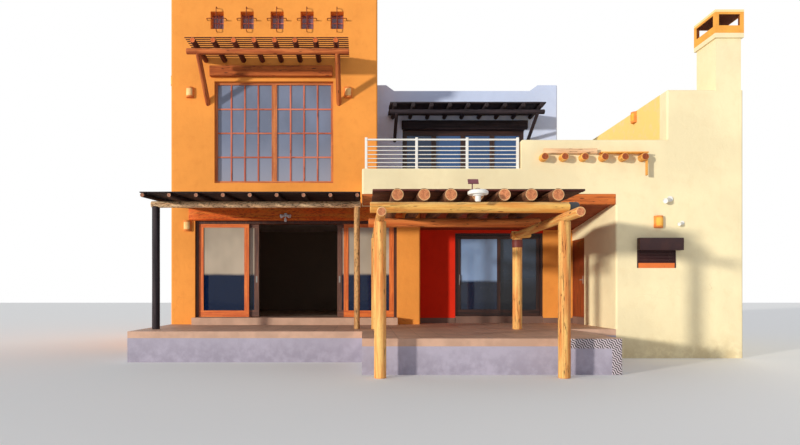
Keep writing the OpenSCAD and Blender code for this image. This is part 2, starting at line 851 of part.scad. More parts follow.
module balcony_parapet() {
    color(CREAM) difference() {
        union() {
            block(0, tall_left, wing_front, parapet_in, ceiling_z, parapet_low_z);
            block(parapet_step_x, tall_left, wing_front, parapet_in,
                  ceiling_z, parapet_high_z);
            block(0, parapet_t, wing_front, 0, ceiling_z, parapet_low_z);
        }
        edge_x(-1, parapet_step_x, wing_front, parapet_low_z, 1);
        edge_x(parapet_step_x - 1, tall_left, wing_front, parapet_high_z, 1);
        edge_y(0, wing_front - 1, 0, parapet_low_z, 1);
        edge_y(parapet_step_x, wing_front - 1, parapet_in + 1, parapet_high_z, 1);
        edge_z(0, wing_front, 1, 1, ceiling_z, parapet_low_z + 1);
    }
}

// The flue runs through the shaft and opens into the cap
module chimney_shaft() {
    color(CREAM) difference() {
        union() {
            block(chimney_left, chimney_right, wing_front, chimney_back,
                  tall_top_z, chimney_z);
            block(chimney_left, wing_right_in, wing_front_in, chimney_back,
                  tall_roof_z, tall_top_z);
            block(chimney_left - chimney_cap_out, chimney_right + chimney_cap_out,
                  wing_front - chimney_cap_out, chimney_back + chimney_cap_out,
                  chimney_z, chimney_z + chimney_band_h);
        }
        block(chimney_left + flue_wall_t, chimney_right - flue_wall_t,
              wing_front + flue_wall_t, chimney_back - flue_wall_t,
              tall_top_z + flue_foot, chimney_z + chimney_band_h + 1);
    }
}

module chimney_cap() {
    z0 = chimney_z + chimney_band_h;
    x0 = chimney_left - chimney_cap_out;
    x1 = chimney_right + chimney_cap_out;
    y0 = wing_front - chimney_cap_out;
    y1 = chimney_back + chimney_cap_out;
    sill = z0 + cap_band_h;
    head = z0 + chimney_cap_h - cap_top_t;
    color(ORANGE) difference() {
        block(x0, x1, y0, y1, z0, z0 + chimney_cap_h);
        block(x0 + cap_pier_t, x1 - cap_pier_t, y0 - 1, y1 + 1, sill, head);
        block(x0 - 1, x1 + 1, y0 + cap_pier_t, y1 - cap_pier_t, sill, head);
        block(x0 + cap_pier_t, x1 - cap_pier_t, y0 + cap_pier_t, y1 - cap_pier_t,
              z0 - 1, sill + 1);
    }
}

// The slab also forms the thresholds in the doorways
module ground_floor() {
    color(FLOOR) translate([0, 0, floor_z - floor_t]) linear_extrude(floor_t) polygon([
        [tower_side_in, back_in],
        [tower_side_in, wall_t],
        [door_left, wall_t],
        [door_left, 0],
        [door_right, 0],
        [door_right, recess_back_in],
        [recess_door_x, recess_back_in],
        [recess_door_x, recess_depth],
        [recess_door_right, recess_depth],
        [recess_door_right, recess_back_in],
        [side_wall_in, recess_back_in],
        [side_wall_in, side_door_y1],
        [recess_w, side_door_y1],
        [recess_w, side_door_y0],
        [side_wall_in, side_door_y0],
        [side_wall_in, wing_front_in],
        [wing_right_in, wing_front_in],
        [wing_right_in, back_in]
    ]);
}

module first_floor() {
    color(FLOOR) translate([0, 0, ceiling_z])
        linear_extrude(terrace_z - ceiling_z) polygon([
            [tower_side_in, back_in],
            [tower_side_in, wall_t],
            [tower_right, wall_t],
            [tower_right, 0],
            [parapet_t, 0],
            [parapet_t, parapet_in],
            [tall_left, parapet_in],
            [tall_left, wing_front_in],
            [wing_right_in, wing_front_in],
            [wing_right_in, back_in]
        ]);
}

module second_floor() {
    color(FLOOR)
        block(tower_side_in, tower_right_in, wall_t, back_in,
              second_z - roof_t, second_z);
}

module roof_slabs() {
    color(FLOOR) {
        block(tower_side_in, tower_right_in, wall_t, back_in,
              tower_roof_z - roof_t, tower_roof_z);
        block(tower_right, upper_side_in, upper_in, back_in,
              upper_roof_z - roof_t, upper_roof_z);
        block(tall_left_in, wing_right_in, wing_front_in, back_in,
              tall_roof_z - roof_t, tall_roof_z);
    }
}

// Outline of the porch, drawn in by t at its open sides only
function porch_outline(t, over) = [
    [tower_left + t, over],
    [tower_left + t, -porch_reach + t],
    [t, -porch_reach + t],
    [t, -log_porch_reach + t],
    [log_porch_w - t, -log_porch_reach + t],
    [log_porch_w - t, wing_front + t],
    [recess_w + over, wing_front + t],
    [recess_w + over, recess_depth + over],
    [pier_right - over, recess_depth + over],
    [pier_right - over, over]
];

module porch_floor() {
    color(FLOOR) {
        translate([0, 0, porch_level - porch_t]) linear_extrude(porch_t)
            polygon(porch_outline(0, 0));
        block(door_left, door_right, -step_d, 0, porch_level, floor_z);
    }
}

module porch_walls() {
    color(FLOOR) linear_extrude(porch_level - porch_t) difference() {
        polygon(porch_outline(0, 0));
        polygon(porch_outline(porch_wall_t, 1));
    }
}

module porch_beam() {
    color(WOOD)
        block(20, recess_w, wing_front, parapet_in, ceiling_z - porch_beam_h,
              ceiling_z);
}

module door_header() {
    color(WOOD) block(door_left - header_bearing, door_right + header_bearing,
                      -header_out, wall_t, door_top_z, ceiling_z);
}

module upper_header() {
    color(DARK_WOOD)
        block(upper_door_left - 25, upper_door_right + 80, upper_setback - 80, upper_in,
              upper_door_z, upper_door_z + upper_header_h);
}

// Boarded ceiling of the recess, falling towards the back wall
module recess_soffit() {
    color(WOOD) translate([pier_right, 0, 0]) rotate([90, 0, 90])
        linear_extrude(recess_w - pier_right) polygon([
            [parapet_in, ceiling_z],
            [parapet_in, ceiling_z - porch_beam_h + 40],
            [recess_depth, soffit_z],
            [recess_depth, ceiling_z]
        ]);
}

module large_window() {
    x0 = tower_left + big_window_x;
    x1 = x0 + big_window_w;
    z0 = big_window_z;
    z1 = z0 + big_window_h;
    mid = (x0 + x1) / 2;
    color(FRAME_WOOD) {
        frame_xz(x0, x1, window_inset, frame_d, z0, z1, frame_w, frame_w, frame_w);
        block(mid - mullion_w / 2, mid + mullion_w / 2, window_inset, window_inset + frame_d,
              z0 + frame_w, z1 - frame_w);
    }
}

module small_windows() {
    bar = 30;
    color(FRAME_WOOD) for (i = [0 : small_window_n - 1]) {
        x0 = small_window_mid(i) - small_window_w / 2;
        frame_xz(x0, x0 + small_window_w, small_window_inset, frame_d / 2,
                 small_window_z, small_window_z + small_window_h, bar, bar, bar);
    }
}

module rear_windows() {
    z_of = plain_sill_h;
    color(FRAME_WOOD) {
        for (w = concat(TOWER_REAR, WING_REAR))
            frame_xz(w[0] - plain_window_w / 2, w[0] + plain_window_w / 2,
                     back - window_inset - frame_d, frame_d,
                     w[1] + z_of, w[1] + z_of + plain_window_h, frame_w, frame_w, frame_w);
        for (w = TOWER_SIDE)
            translate([tower_left, w[0], 0]) rotate([0, 0, -90])
                frame_xz(-plain_window_w / 2, plain_window_w / 2, window_inset, frame_d,
                         w[1] + z_of, w[1] + z_of + plain_window_h,
                         frame_w, frame_w, frame_w);
    }
}

// Every fixed pane of the house
module window_glass() {
    color(GLASS) {
        large_window_panes();
        small_window_panes();
        plain_window_panes();
        upper_door_panes();
        fixed_leaf_panes();
    }
}

module large_window_panes() {
    x0 = tower_left + big_window_x + frame_w;
    x1 = tower_left + big_window_x + big_window_w - frame_w;
    mid = (x0 + x1) / 2;
    for (x = [[x0, mid - mullion_w / 2], [mid + mullion_w / 2, x1]])
        pane_xz(x[0], x[1], window_inset, frame_d, big_window_z + frame_w,
                big_window_z + big_window_h - frame_w);
}

module small_window_panes() {
    bar = 30;
    for (i = [0 : small_window_n - 1]) {
        x0 = small_window_mid(i) - small_window_w / 2;
        pane_xz(x0 + bar, x0 + small_window_w - bar, small_window_inset, frame_d / 2,
                small_window_z + bar, small_window_z + small_window_h - bar);
    }
}

module plain_window_panes() {
    half = plain_window_w / 2 - frame_w;
    z_of = plain_sill_h + frame_w;
    h = plain_window_h - 2 * frame_w;
    for (w = concat(TOWER_REAR, WING_REAR))
        pane_xz(w[0] - half, w[0] + half, back - window_inset - frame_d, frame_d,
                w[1] + z_of, w[1] + z_of + h);
    for (w = TOWER_SIDE)
        translate([tower_left, w[0], 0]) rotate([0, 0, -90])
            pane_xz(-half, half, window_inset, frame_d, w[1] + z_of, w[1] + z_of + h);
}

upper_leaf_n = 4;
upper_leaf_w = (upper_door_w - 2 * frame_w) / upper_leaf_n;
upper_frame_y = upper_setback + 120;

// Four glazed leaves that stay shut
module upper_doors() {
    x0 = upper_door_left;
    z0 = terrace_z;
    color(DARK_WOOD) {
        frame_xz(x0, upper_door_right, upper_frame_y, frame_d, z0, upper_door_z,
                 frame_w, frame_w, 40);
        for (i = [0 : upper_leaf_n - 1])
            frame_xz(x0 + frame_w + i * upper_leaf_w, x0 + frame_w + (i + 1) * upper_leaf_w,
                     upper_frame_y + 15, leaf_t, z0 + 40, upper_door_z - frame_w,
                     70, 80, 160);
    }
}

module upper_door_panes() {
    for (i = [0 : upper_leaf_n - 1]) {
        x0 = upper_door_left + frame_w + i * upper_leaf_w;
        pane_xz(x0 + 70, x0 + upper_leaf_w - 70, upper_frame_y + 15, leaf_t,
                terrace_z + 200, upper_door_z - frame_w - 80);
    }
}

// Frame with its head, sill and tracks; the outer leaves are fixed in it
module tower_door_frame() {
    color(FRAME_WOOD) {
        frame_xz(door_left, door_right, door_inset, door_frame_d, floor_z, door_top_z,
                 door_frame_w, door_frame_w, track_h / 2);
        for (x = [door_clear_left, door_clear_right - leaf_w])
            frame_xz(x, x + leaf_w, fixed_leaf_y, leaf_t, floor_z + track_h / 2,
                     door_top_z - door_frame_w, stile_w, top_rail_h, bottom_rail_h);
        block(door_clear_left, door_clear_right, sliding_leaf_y + leaf_t / 2 - 4,
              sliding_leaf_y + leaf_t / 2 + 4, floor_z, floor_z + track_h);
    }
}

module fixed_leaf_panes() {
    z0 = floor_z + track_h / 2 + bottom_rail_h;
    z1 = door_top_z - door_frame_w - top_rail_h;
    for (x = [door_clear_left, door_clear_right - leaf_w])
        pane_xz(x + stile_w, x + leaf_w - stile_w, fixed_leaf_y, leaf_t, z0, z1);
    pane_xz(recess_fixed_x + recess_stile_w, recess_fixed_x + recess_leaf_w - recess_stile_w,
            recess_fixed_y, leaf_t, floor_z + track_h / 2 + bottom_rail_h,
            recess_door_z - recess_frame_w - top_rail_h);
}

// A sliding leaf on two runners that ride on the track
module sliding_leaf(x, y, w, z1, stile) {
    frame_xz(x, x + w, y, leaf_t, leaf_z0, z1, stile, top_rail_h, bottom_rail_h);
    for (rx = [x + 200, x + w - 200])
        translate([rx, y + (leaf_t - runner_w) / 2,
                   floor_z + track_h + seat_gap + runner_d / 2])
            rotate([-90, 0, 0]) cylinder(h = runner_w, d = runner_d);
}

module sliding_pane(x, y, w, z1, stile) {
    pane_xz(x + stile, x + w - stile, y, leaf_t, leaf_z0 + bottom_rail_h, z1 - top_rail_h);
}

module left_leaf() {
    color(FRAME_WOOD) sliding_leaf(left_leaf_x, sliding_leaf_y, leaf_w, leaf_z1, stile_w);
}

module left_leaf_glass() {
    color(GLASS) sliding_pane(left_leaf_x, sliding_leaf_y, leaf_w, leaf_z1, stile_w);
}

module right_leaf() {
    color(FRAME_WOOD) sliding_leaf(right_leaf_x, sliding_leaf_y, leaf_w, leaf_z1, stile_w);
}

module right_leaf_glass() {
    color(GLASS) sliding_pane(right_leaf_x, sliding_leaf_y, leaf_w, leaf_z1, stile_w);
}

recess_stile_w = 100;

module recess_door_frame() {
    color(FRAME_WOOD) {
        frame_xz(recess_door_x, recess_door_right, recess_frame_y, recess_frame_d,
                 floor_z, recess_door_z, recess_frame_w, recess_frame_w, track_h / 2);
        frame_xz(recess_fixed_x, recess_fixed_x + recess_leaf_w, recess_fixed_y, leaf_t,
                 floor_z + track_h / 2, recess_door_z - recess_frame_w,
                 recess_stile_w, top_rail_h, bottom_rail_h);
        block(recess_door_x + recess_frame_w, recess_door_right - recess_frame_w,
              recess_leaf_y + leaf_t / 2 - 4, recess_leaf_y + leaf_t / 2 + 4,
              floor_z, floor_z + track_h);
    }
}

module recess_leaf() {
    color(FRAME_WOOD) sliding_leaf(recess_leaf_x, recess_leaf_y, recess_leaf_w,
                                   recess_leaf_z1, recess_stile_w);
}

module recess_leaf_glass() {
    color(GLASS) sliding_pane(recess_leaf_x, recess_leaf_y, recess_leaf_w,
                              recess_leaf_z1, recess_stile_w);
}

HINGES = [0.12, 0.5, 0.88];
function hinge_z(share) = floor_z + share * (side_leaf_z1 - floor_z);

// Frame of the side door with the hinge pins that carry the leaf
module side_door_frame() {
    color(DARK_WOOD) {
        block(recess_w + 10, recess_w + 10 + side_frame_d, side_door_y0,
              side_door_y0 + door_frame_w, floor_z, side_door_z);
        block(recess_w + 10, recess_w + 10 + side_frame_d, side_door_y1 - door_frame_w,
              side_door_y1, floor_z, side_door_z);
        block(recess_w + 10, recess_w + 10 + side_frame_d, side_door_y0 + door_frame_w,
              side_door_y1 - door_frame_w, side_door_z - door_frame_w, side_door_z);
        for (share = HINGES) {
            z = hinge_z(share);
            translate([hinge_x, hinge_y, z - hinge_h]) cylinder(h = hinge_h, r = hinge_r);
            translate([hinge_x, hinge_y, z]) cylinder(h = hinge_h - 20, r = hinge_r / 2);
            block(hinge_x - 2, hinge_x + 2, hinge_y, side_door_y1 - door_frame_w + 1,
                  z - hinge_h, z);
        }
    }
}

// The leaf's hinge sleeves stand on the frame's knuckles, round their pins
module side_door() {
    color(DARK_WOOD) difference() {
        union() {
            block(side_leaf_x, side_leaf_x + leaf_t, side_leaf_y0, side_leaf_y1,
                  floor_z + leaf_gap, side_leaf_z1);
            for (share = HINGES) {
                z = hinge_z(share) + seat_gap;
                translate([hinge_x, hinge_y, z]) cylinder(h = hinge_h, r = hinge_r);
                block(side_leaf_x + leaf_t - 1, hinge_x, side_leaf_y1 - 40, hinge_y,
                      z, z + hinge_h);
            }
        }
        for (share = HINGES)
            translate([hinge_x, hinge_y, hinge_z(share) - 1])
                cylinder(h = hinge_h - 10, r = hinge_r / 2 + 0.1);
    }
}

// An iron bar along X whose ends bend back into the wall behind it
module grille_bar(length) {
    r = grille_bend_r;
    log_x(-length / 2 + r, length / 2 - r, -grille_out, 0, grille_bar_d);
    for (side = [-1, 1]) {
        translate([side * (length / 2 - r), r - grille_out, 0])
            rotate([0, 0, side > 0 ? -90 : 180])
                rotate_extrude(angle = 90) translate([r, 0]) circle(d = grille_bar_d);
        log_y(side * length / 2, r - grille_out, 0, 0, grille_bar_d);
    }
}

// One grille before a small window: an upright and a level bar, forged together
module grille(x) {
    translate([x, 0, small_window_z + small_window_h / 2]) {
        grille_bar(small_window_w + 2 * grille_over);
        rotate([0, 90, 0]) grille_bar(small_window_h + 2 * grille_over);
    }
}

module window_grilles() {
    color(IRON) for (i = [0 : small_window_n - 1]) grille(small_window_mid(i));
}

module window_box() {
    x0 = tower_left + big_window_x - 105;
    z1 = second_z - 60;
    color(WOOD)
        block(x0, x0 + big_window_w + 85, -window_box_out, 0, z1 - window_box_h, z1);
}

// Box and lowered curtain of the shutter in the wing's front wall
module roller_shutter() {
    x0 = recess_w + shutter_x;
    color(DARK_WOOD) {
        block(x0, x0 + shutter_w + 120, wing_front - 150, wing_front,
              shutter_top_z, shutter_top_z + shutter_box_h);
        block(x0, x0 + shutter_w, wing_front + 5, wing_front + 25, shutter_z, shutter_top_z);
        block(x0, x0 + shutter_w, wing_front - 2, wing_front + 10,
              shutter_top_z - 20, shutter_top_z);
    }
}

// A brace from a beam's underside down to the wall at y = wall
module brace(x, beam_y, beam_z, beam_r, wall, foot_z, d) {
    top_z = beam_z - beam_r * 0.5;
    run = wall - beam_y;
    rise = top_z - foot_z;
    difference() {
        translate([x, beam_y, top_z]) rotate([-90 - atan2(rise, run), 0, 0])
            translate([0, 0, -d]) cylinder(h = norm([run, rise]) + 2 * d, d = d);
        translate([x - d, wall, foot_z - 3 * d]) cube([2 * d, 4 * d, 8 * d]);
        log_x(x - d, x + d, beam_y, beam_z, 2 * (beam_r + seat_gap));
        translate([x - d, beam_y - 3 * d, beam_z - beam_r * 0.5]) cube([2 * d, 4 * d, 4 * d]);
    }
}

module tower_awning_frame() {
    color(WOOD) {
        log_x(awning_left, awning_left + awning_w, -awning_beam_out, awning_beam_up,
              awning_beam_d);
        for (x = [awning_left + brace_inset, awning_left + awning_w - brace_inset])
            brace(x, -awning_beam_out, awning_beam_up, awning_beam_d / 2, 0,
                  brace_foot_up, brace_d);
    }
}

module tower_awning_rafters() {
    color(WOOD) difference() {
        for (i = [0 : awning_rafter_n - 1])
            log_y(awning_rafter_at(i), -awning_out, 0, awning_rafter_z, awning_rafter_d);
        log_x(awning_left - 1, awning_left + awning_w + 1, -awning_beam_out, awning_beam_up,
              awning_beam_d + 2 * seat_gap);
    }
}

module tower_awning_slats() {
    z0 = awning_rafter_z + awning_rafter_d / 2 + seat_gap;
    color(WOOD) for (i = [0 : awning_slat_n - 1]) {
        y = spread(-awning_out + 40, -awning_slat_w - 60, awning_slat_n, i);
        block(awning_left + 30, awning_left + awning_w - 10, y, y + awning_slat_w,
              z0, z0 + awning_slat_t);
    }
}

module upper_awning_frame() {
    y = upper_setback - upper_beam_out;
    color(DARK_WOOD) {
        log_x(upper_awning_left, upper_awning_left + upper_awning_w, y, upper_beam_up,
              upper_beam_d);
        for (x = [upper_awning_left + 200, upper_awning_left + upper_awning_w - 200])
            brace(x, y, upper_beam_up, upper_beam_d / 2, upper_setback,
                  upper_brace_foot_up, 100);
    }
}

module upper_awning_rafters() {
    y = upper_setback - upper_beam_out;
    color(DARK_WOOD) difference() {
        for (i = [0 : upper_rafter_n - 1])
            log_y(upper_rafter_at(i), upper_setback - upper_awning_out, upper_setback,
                  upper_rafter_z, upper_rafter_d);
        log_x(upper_awning_left - 1, upper_awning_left + upper_awning_w + 1, y, upper_beam_up,
              upper_beam_d + 2 * seat_gap);
    }
}

module upper_awning_boards() {
    z0 = upper_rafter_z + upper_rafter_d / 2 + seat_gap;
    color(DARK_WOOD)
        block(upper_awning_left - 10, upper_awning_left + upper_awning_w + 10,
              upper_setback - upper_awning_out + 60, upper_setback, z0, z0 + upper_board_t);
}

module shade_posts() {
    x0 = shade_beam_left + 109;
    x1 = shade_beam_left + shade_beam_w - 93;
    reach = shade_post_left_d;
    color(DARK_WOOD) difference() {
        union() {
            log_z(x0, -shade_beam_out, porch_level, shade_beam_up, shade_post_left_d);
            log_z(x1, -shade_beam_out, porch_level, shade_beam_up, shade_post_right_d);
        }
        log_x(x0 - reach, x1 + reach, -shade_beam_out, shade_beam_up,
              shade_beam_d + 2 * seat_gap);
        block(x0 - reach, x1 + reach, -shade_beam_out - reach, -shade_beam_out + reach,
              shade_beam_up - shade_beam_d / 3, shade_beam_up + 1);
    }
}

module shade_beam() {
    color(WOOD) log_x(shade_beam_left, shade_beam_left + shade_beam_w, -shade_beam_out,
                      shade_beam_up, shade_beam_d);
}

// The space behind the tower's face at the height of the dark pergola
module behind_tower_face() {
    block(shade_beam_left - shade_rafter_d, shade_beam_left + shade_beam_w + shade_rafter_d,
          0, wall_t, shade_tip_up - 2 * shade_rafter_d, shade_back_up + 3 * shade_rafter_d);
}

// Rafters rise towards the tower and end at its wall, on the header beam
module shade_rafters() {
    color(DARK_WOOD) difference() {
        for (i = [0 : shade_rafter_n - 1])
            translate([shade_rafter_at(i), -shade_reach, shade_tip_up])
                rotate([-90 + shade_slope, 0, 0])
                    cylinder(h = shade_reach + 100, d = shade_rafter_d);
        behind_tower_face();
        log_x(shade_beam_left - 1, shade_beam_left + shade_beam_w + 1, -shade_beam_out,
              shade_beam_up, shade_beam_d + 2 * seat_gap);
        block(door_left - header_bearing - 1, door_right, -header_out - seat_gap, 1,
              door_top_z, ceiling_z + seat_gap);
    }
}

module shade_roof() {
    color(DARK_WOOD) difference() {
        translate([shade_beam_left, -shade_reach, shade_tip_up]) rotate([shade_slope, 0, 0])
            translate([20, 30, shade_rafter_d / 2 + seat_gap])
                cube([shade_beam_w - 20, shade_reach + 60, shade_roof_t]);
        behind_tower_face();
    }
}

LOG_POSTS_X = [log_post_x, log_post_x + log_post_span];
rear_post_y = wing_front;

module log_posts() {
    top = side_beam_up - side_beam_d / 2 + 3 * notch;
    color(WOOD) difference() {
        for (x = LOG_POSTS_X) {
            log_z(x, log_front_y, 0, top, log_post_d);
            log_z(x, rear_post_y, porch_level, top, log_post_d);
        }
        for (x = LOG_POSTS_X)
            log_y(x, log_front_y - log_post_d, rear_post_y + log_post_d, side_beam_up,
                  side_beam_d + 2 * seat_gap);
    }
}

module side_beams(d) {
    for (x = LOG_POSTS_X)
        log_y(x, log_front_y - side_beam_over, rear_post_y + side_beam_in, side_beam_up, d);
}

module cross_logs(over, d) {
    for (y = [log_front_y, -cross_log_rear])
        log_x(cross_log_x - over, cross_log_x + cross_log_w + over, y, cross_log_z, d);
}

// Side beams on the posts, and cross logs saddled over them
module log_beams() {
    color(WOOD) {
        side_beams(side_beam_d);
        difference() {
            cross_logs(0, cross_log_d);
            side_beams(side_beam_d + 2 * seat_gap);
        }
    }
}

module log_vigas() {
    color(WOOD) difference() {
        for (i = [0 : viga_n - 1])
            log_y(viga_x + i * viga_pitch, viga_front_y, viga_back, viga_z, viga_d);
        cross_logs(1, cross_log_d + 2 * seat_gap);
    }
}

module log_deck() {
    color(WOOD) block(deck_x, deck_x + deck_w, -deck_reach, viga_back,
                      deck_z, deck_z + deck_t);
}

// Logs through the parapet with the boards that lie on them. The boards are let
// into the logs by half a notch.
module wall_vigas() {
    seat = wall_viga_at_z + wall_viga_d / 2 - notch / 2;
    y0 = wing_front - wall_viga_out;
    y_mid = wing_front - wall_viga_out / 2;
    last = wall_viga_at(wall_viga_n - 1);
    color(WOOD) {
        for (i = [0 : wall_viga_n - 1])
            log_y(wall_viga_at(i), y0, wing_front, wall_viga_at_z, wall_viga_d);
        block(wall_viga_at(0), wall_viga_at(2) + viga_board_end,
              y_mid, y_mid + viga_board_t, seat, seat + viga_board_h);
        block(wall_viga_at(3) - viga_board_over, last + viga_board_over,
              y_mid - viga_plank_w / 2, y_mid + viga_plank_w / 2, seat, seat + viga_board_t);
        block(last + wall_viga_d / 4, last + wall_viga_d / 4 + viga_board_t,
              y0 + viga_board_t, y0 + viga_board_t + viga_tag_w,
              wall_viga_at_z - viga_tag_h, wall_viga_at_z);
    }
}

module railing_posts() {
    top = parapet_low_z + rail_h;
    top_rail_z = top - rail_post_over;
    y = wing_front + parapet_t / 2;
    x0 = parapet_t / 2;
    x1 = parapet_step_x - rail_end_gap;
    posts = 4;
    for (i = [0 : posts - 1])
        translate([spread(x0, x1, posts, i), y, (parapet_low_z + top) / 2])
            cube([rail_post_w, rail_post_w, rail_h], center = true);
    log_x(x0, x1, y, top_rail_z, rail_top_d);
    for (i = [0 : rail_n - 1])
        log_x(x0, x1, y, spread(parapet_low_z + rail_foot, top_rail_z - rail_head,
                                rail_n, i), rail_d);
}

// A half-round lamp that is open at the top; it faces -Y, or -X when turned by -90
module lamp(x, y, z, turn = 0) {
    translate([x, y, z]) rotate([0, 0, turn]) difference() {
        cylinder(h = lamp_h, d = lamp_w);
        block(-lamp_w, lamp_w, 0, lamp_w, -1, lamp_h + 1);
        translate([0, 0, lamp_t]) cylinder(h = lamp_h, d = lamp_w - 2 * lamp_t);
    }
}

module railing_and_lamps() {
    color(STEEL) railing_posts();
    color(ORANGE) {
        lamp(tower_left + lamp_left_x, 0, lamp_up);
        lamp(tower_left + lamp_right_x, 0, lamp_up);
        lamp(tower_left + door_lamp_x, 0, door_top_z - lamp_h - seat_gap);
        lamp(tower_left, side_lamp_y, side_lamp_up, -90);
        lamp(recess_w + shutter_lamp_x, wing_front, shutter_lamp_up);
        lamp(tall_left, wing_front + tall_lamp_y, tall_lamp_up, -90);
    }
}

tower_front_wall();
tower_side_walls();
tower_back_wall();
door_side_walls();
upper_front_wall();
terrace_side_walls();
wing_front_wall();
wing_right_wall();
wing_back_wall();
recess_walls();
recess_side_wall();
door_lintels();
sill_walls();
balcony_parapet();
chimney_shaft();
chimney_cap();
ground_floor();
first_floor();
second_floor();
roof_slabs();
porch_floor();
porch_walls();
porch_beam();
door_header();
upper_header();
recess_soffit();
large_window();
small_windows();
rear_windows();
window_glass();
upper_doors();
tower_door_frame();
recess_door_frame();
side_door_frame();
left_leaf();
left_leaf_glass();
right_leaf();
right_leaf_glass();
recess_leaf();
recess_leaf_glass();
side_door();
window_grilles();
window_box();
roller_shutter();
tower_awning_frame();
tower_awning_rafters();
tower_awning_slats();
upper_awning_frame();
upper_awning_rafters();
upper_awning_boards();
shade_posts();
shade_beam();
shade_rafters();
shade_roof();
log_posts();
log_beams();
log_vigas();
log_deck();
wall_vigas();
railing_and_lamps();
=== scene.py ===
import math
import random

import bmesh
import bpy
import numpy as np
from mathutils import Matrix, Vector


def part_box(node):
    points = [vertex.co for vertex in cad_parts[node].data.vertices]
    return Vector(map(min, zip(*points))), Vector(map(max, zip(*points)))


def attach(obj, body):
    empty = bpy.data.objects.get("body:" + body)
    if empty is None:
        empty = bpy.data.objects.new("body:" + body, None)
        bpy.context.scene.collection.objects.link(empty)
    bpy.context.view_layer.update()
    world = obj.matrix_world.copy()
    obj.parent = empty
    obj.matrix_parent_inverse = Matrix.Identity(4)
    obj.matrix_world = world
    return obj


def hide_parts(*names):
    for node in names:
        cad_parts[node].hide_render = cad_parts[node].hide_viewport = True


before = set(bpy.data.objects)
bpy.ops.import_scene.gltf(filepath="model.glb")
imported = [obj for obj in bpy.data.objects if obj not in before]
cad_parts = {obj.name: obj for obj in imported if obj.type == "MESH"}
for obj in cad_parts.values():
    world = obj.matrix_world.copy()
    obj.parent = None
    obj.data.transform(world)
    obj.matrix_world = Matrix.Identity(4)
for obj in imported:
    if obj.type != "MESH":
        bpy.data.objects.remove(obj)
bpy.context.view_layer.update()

HOUSE = "house"

# The photograph's frame and the camera that took it
PHOTO_W = 800
PHOTO_H = 445
VANISHING_X = 362
VANISHING_Y = 293
FOCAL_PX = 600
SENSOR = 36.0
EYE = Vector((0.0, -16.667, 1.565))

# Places and sizes that several parts of this script share
WING_FRONT_Y = -2.267
LOG_SLEEVE = 0.185
TILE = 0.184

# Lights and stage
WORLD_LIGHT = 0.58
SUN_LIGHT = 3.0
SUN_TURN = 52
SUN_HEIGHT = 6
SUN_SPREAD = 3
FILL_LIGHT = 1.1
FILL_TURN = -145
FILL_HEIGHT = 14
FILL_SPREAD = 40
FLOOR_SIZE = 160


def paint(colour, factor=1.0):
    """A colour given as it shows on a screen, from 0 to 255, in the shader's linear form, and
    made darker or lighter by the factor."""
    values = []
    for part in colour:
        share = part / 255
        linear = share / 12.92 if share <= 0.04045 else ((share + 0.055) / 1.055) ** 2.4
        values.append(min(1.0, linear * factor))
    return (*values, 1.0)


def tinted(value):
    """A plain colour in its linear form. What is linear already, or a socket, stays."""
    return paint(value) if isinstance(value, tuple) and len(value) == 3 else value


ORANGE = (250, 162, 74)
ORANGE_STAIN = (214, 118, 48)
CREAM = (250, 233, 190)
CREAM_STAIN = (234, 208, 158)
# White stucco tinted blue-grey as painted shade, for the upper room that stands in the tower's shadow
SHADED_WHITE = (206, 218, 246)
SHADED_WHITE_STAIN = (196, 200, 232)
SUNNY = (252, 216, 122)
RED = (240, 48, 20)
RED_STAIN = (190, 32, 14)
# Inner wall plaster, darkened as painted shade of the rooms' dim inside
SHADED_PLASTER = (150, 128, 108)
CEILING = (246, 236, 226)
GREY_STUCCO = (180, 172, 188)
GREY_STAIN = (158, 150, 166)
CAP_ORANGE = (246, 172, 78)


class Nodes:
    """A node tree under construction."""

    def __init__(self, tree):
        self.tree = tree

    def put(self, node, socket, value):
        """Links what another node gives to a socket, or sets a plain value on it."""
        if isinstance(value, bpy.types.NodeSocket):
            self.tree.links.new(value, node.inputs[socket])
        else:
            node.inputs[socket].default_value = value

    def add(self, kind, output, inputs=None, **settings):
        """Adds a node with its settings and inputs, and gives back one of its outputs."""
        node = self.tree.nodes.new("ShaderNode" + kind)
        for setting, value in settings.items():
            setattr(node, setting, value)
        for socket, value in (inputs or {}).items():
            self.put(node, socket, value)
        return node.outputs[output]

    def math(self, operation, first, second=0.0):
        return self.add("Math", 0, {0: first, 1: second}, operation=operation)


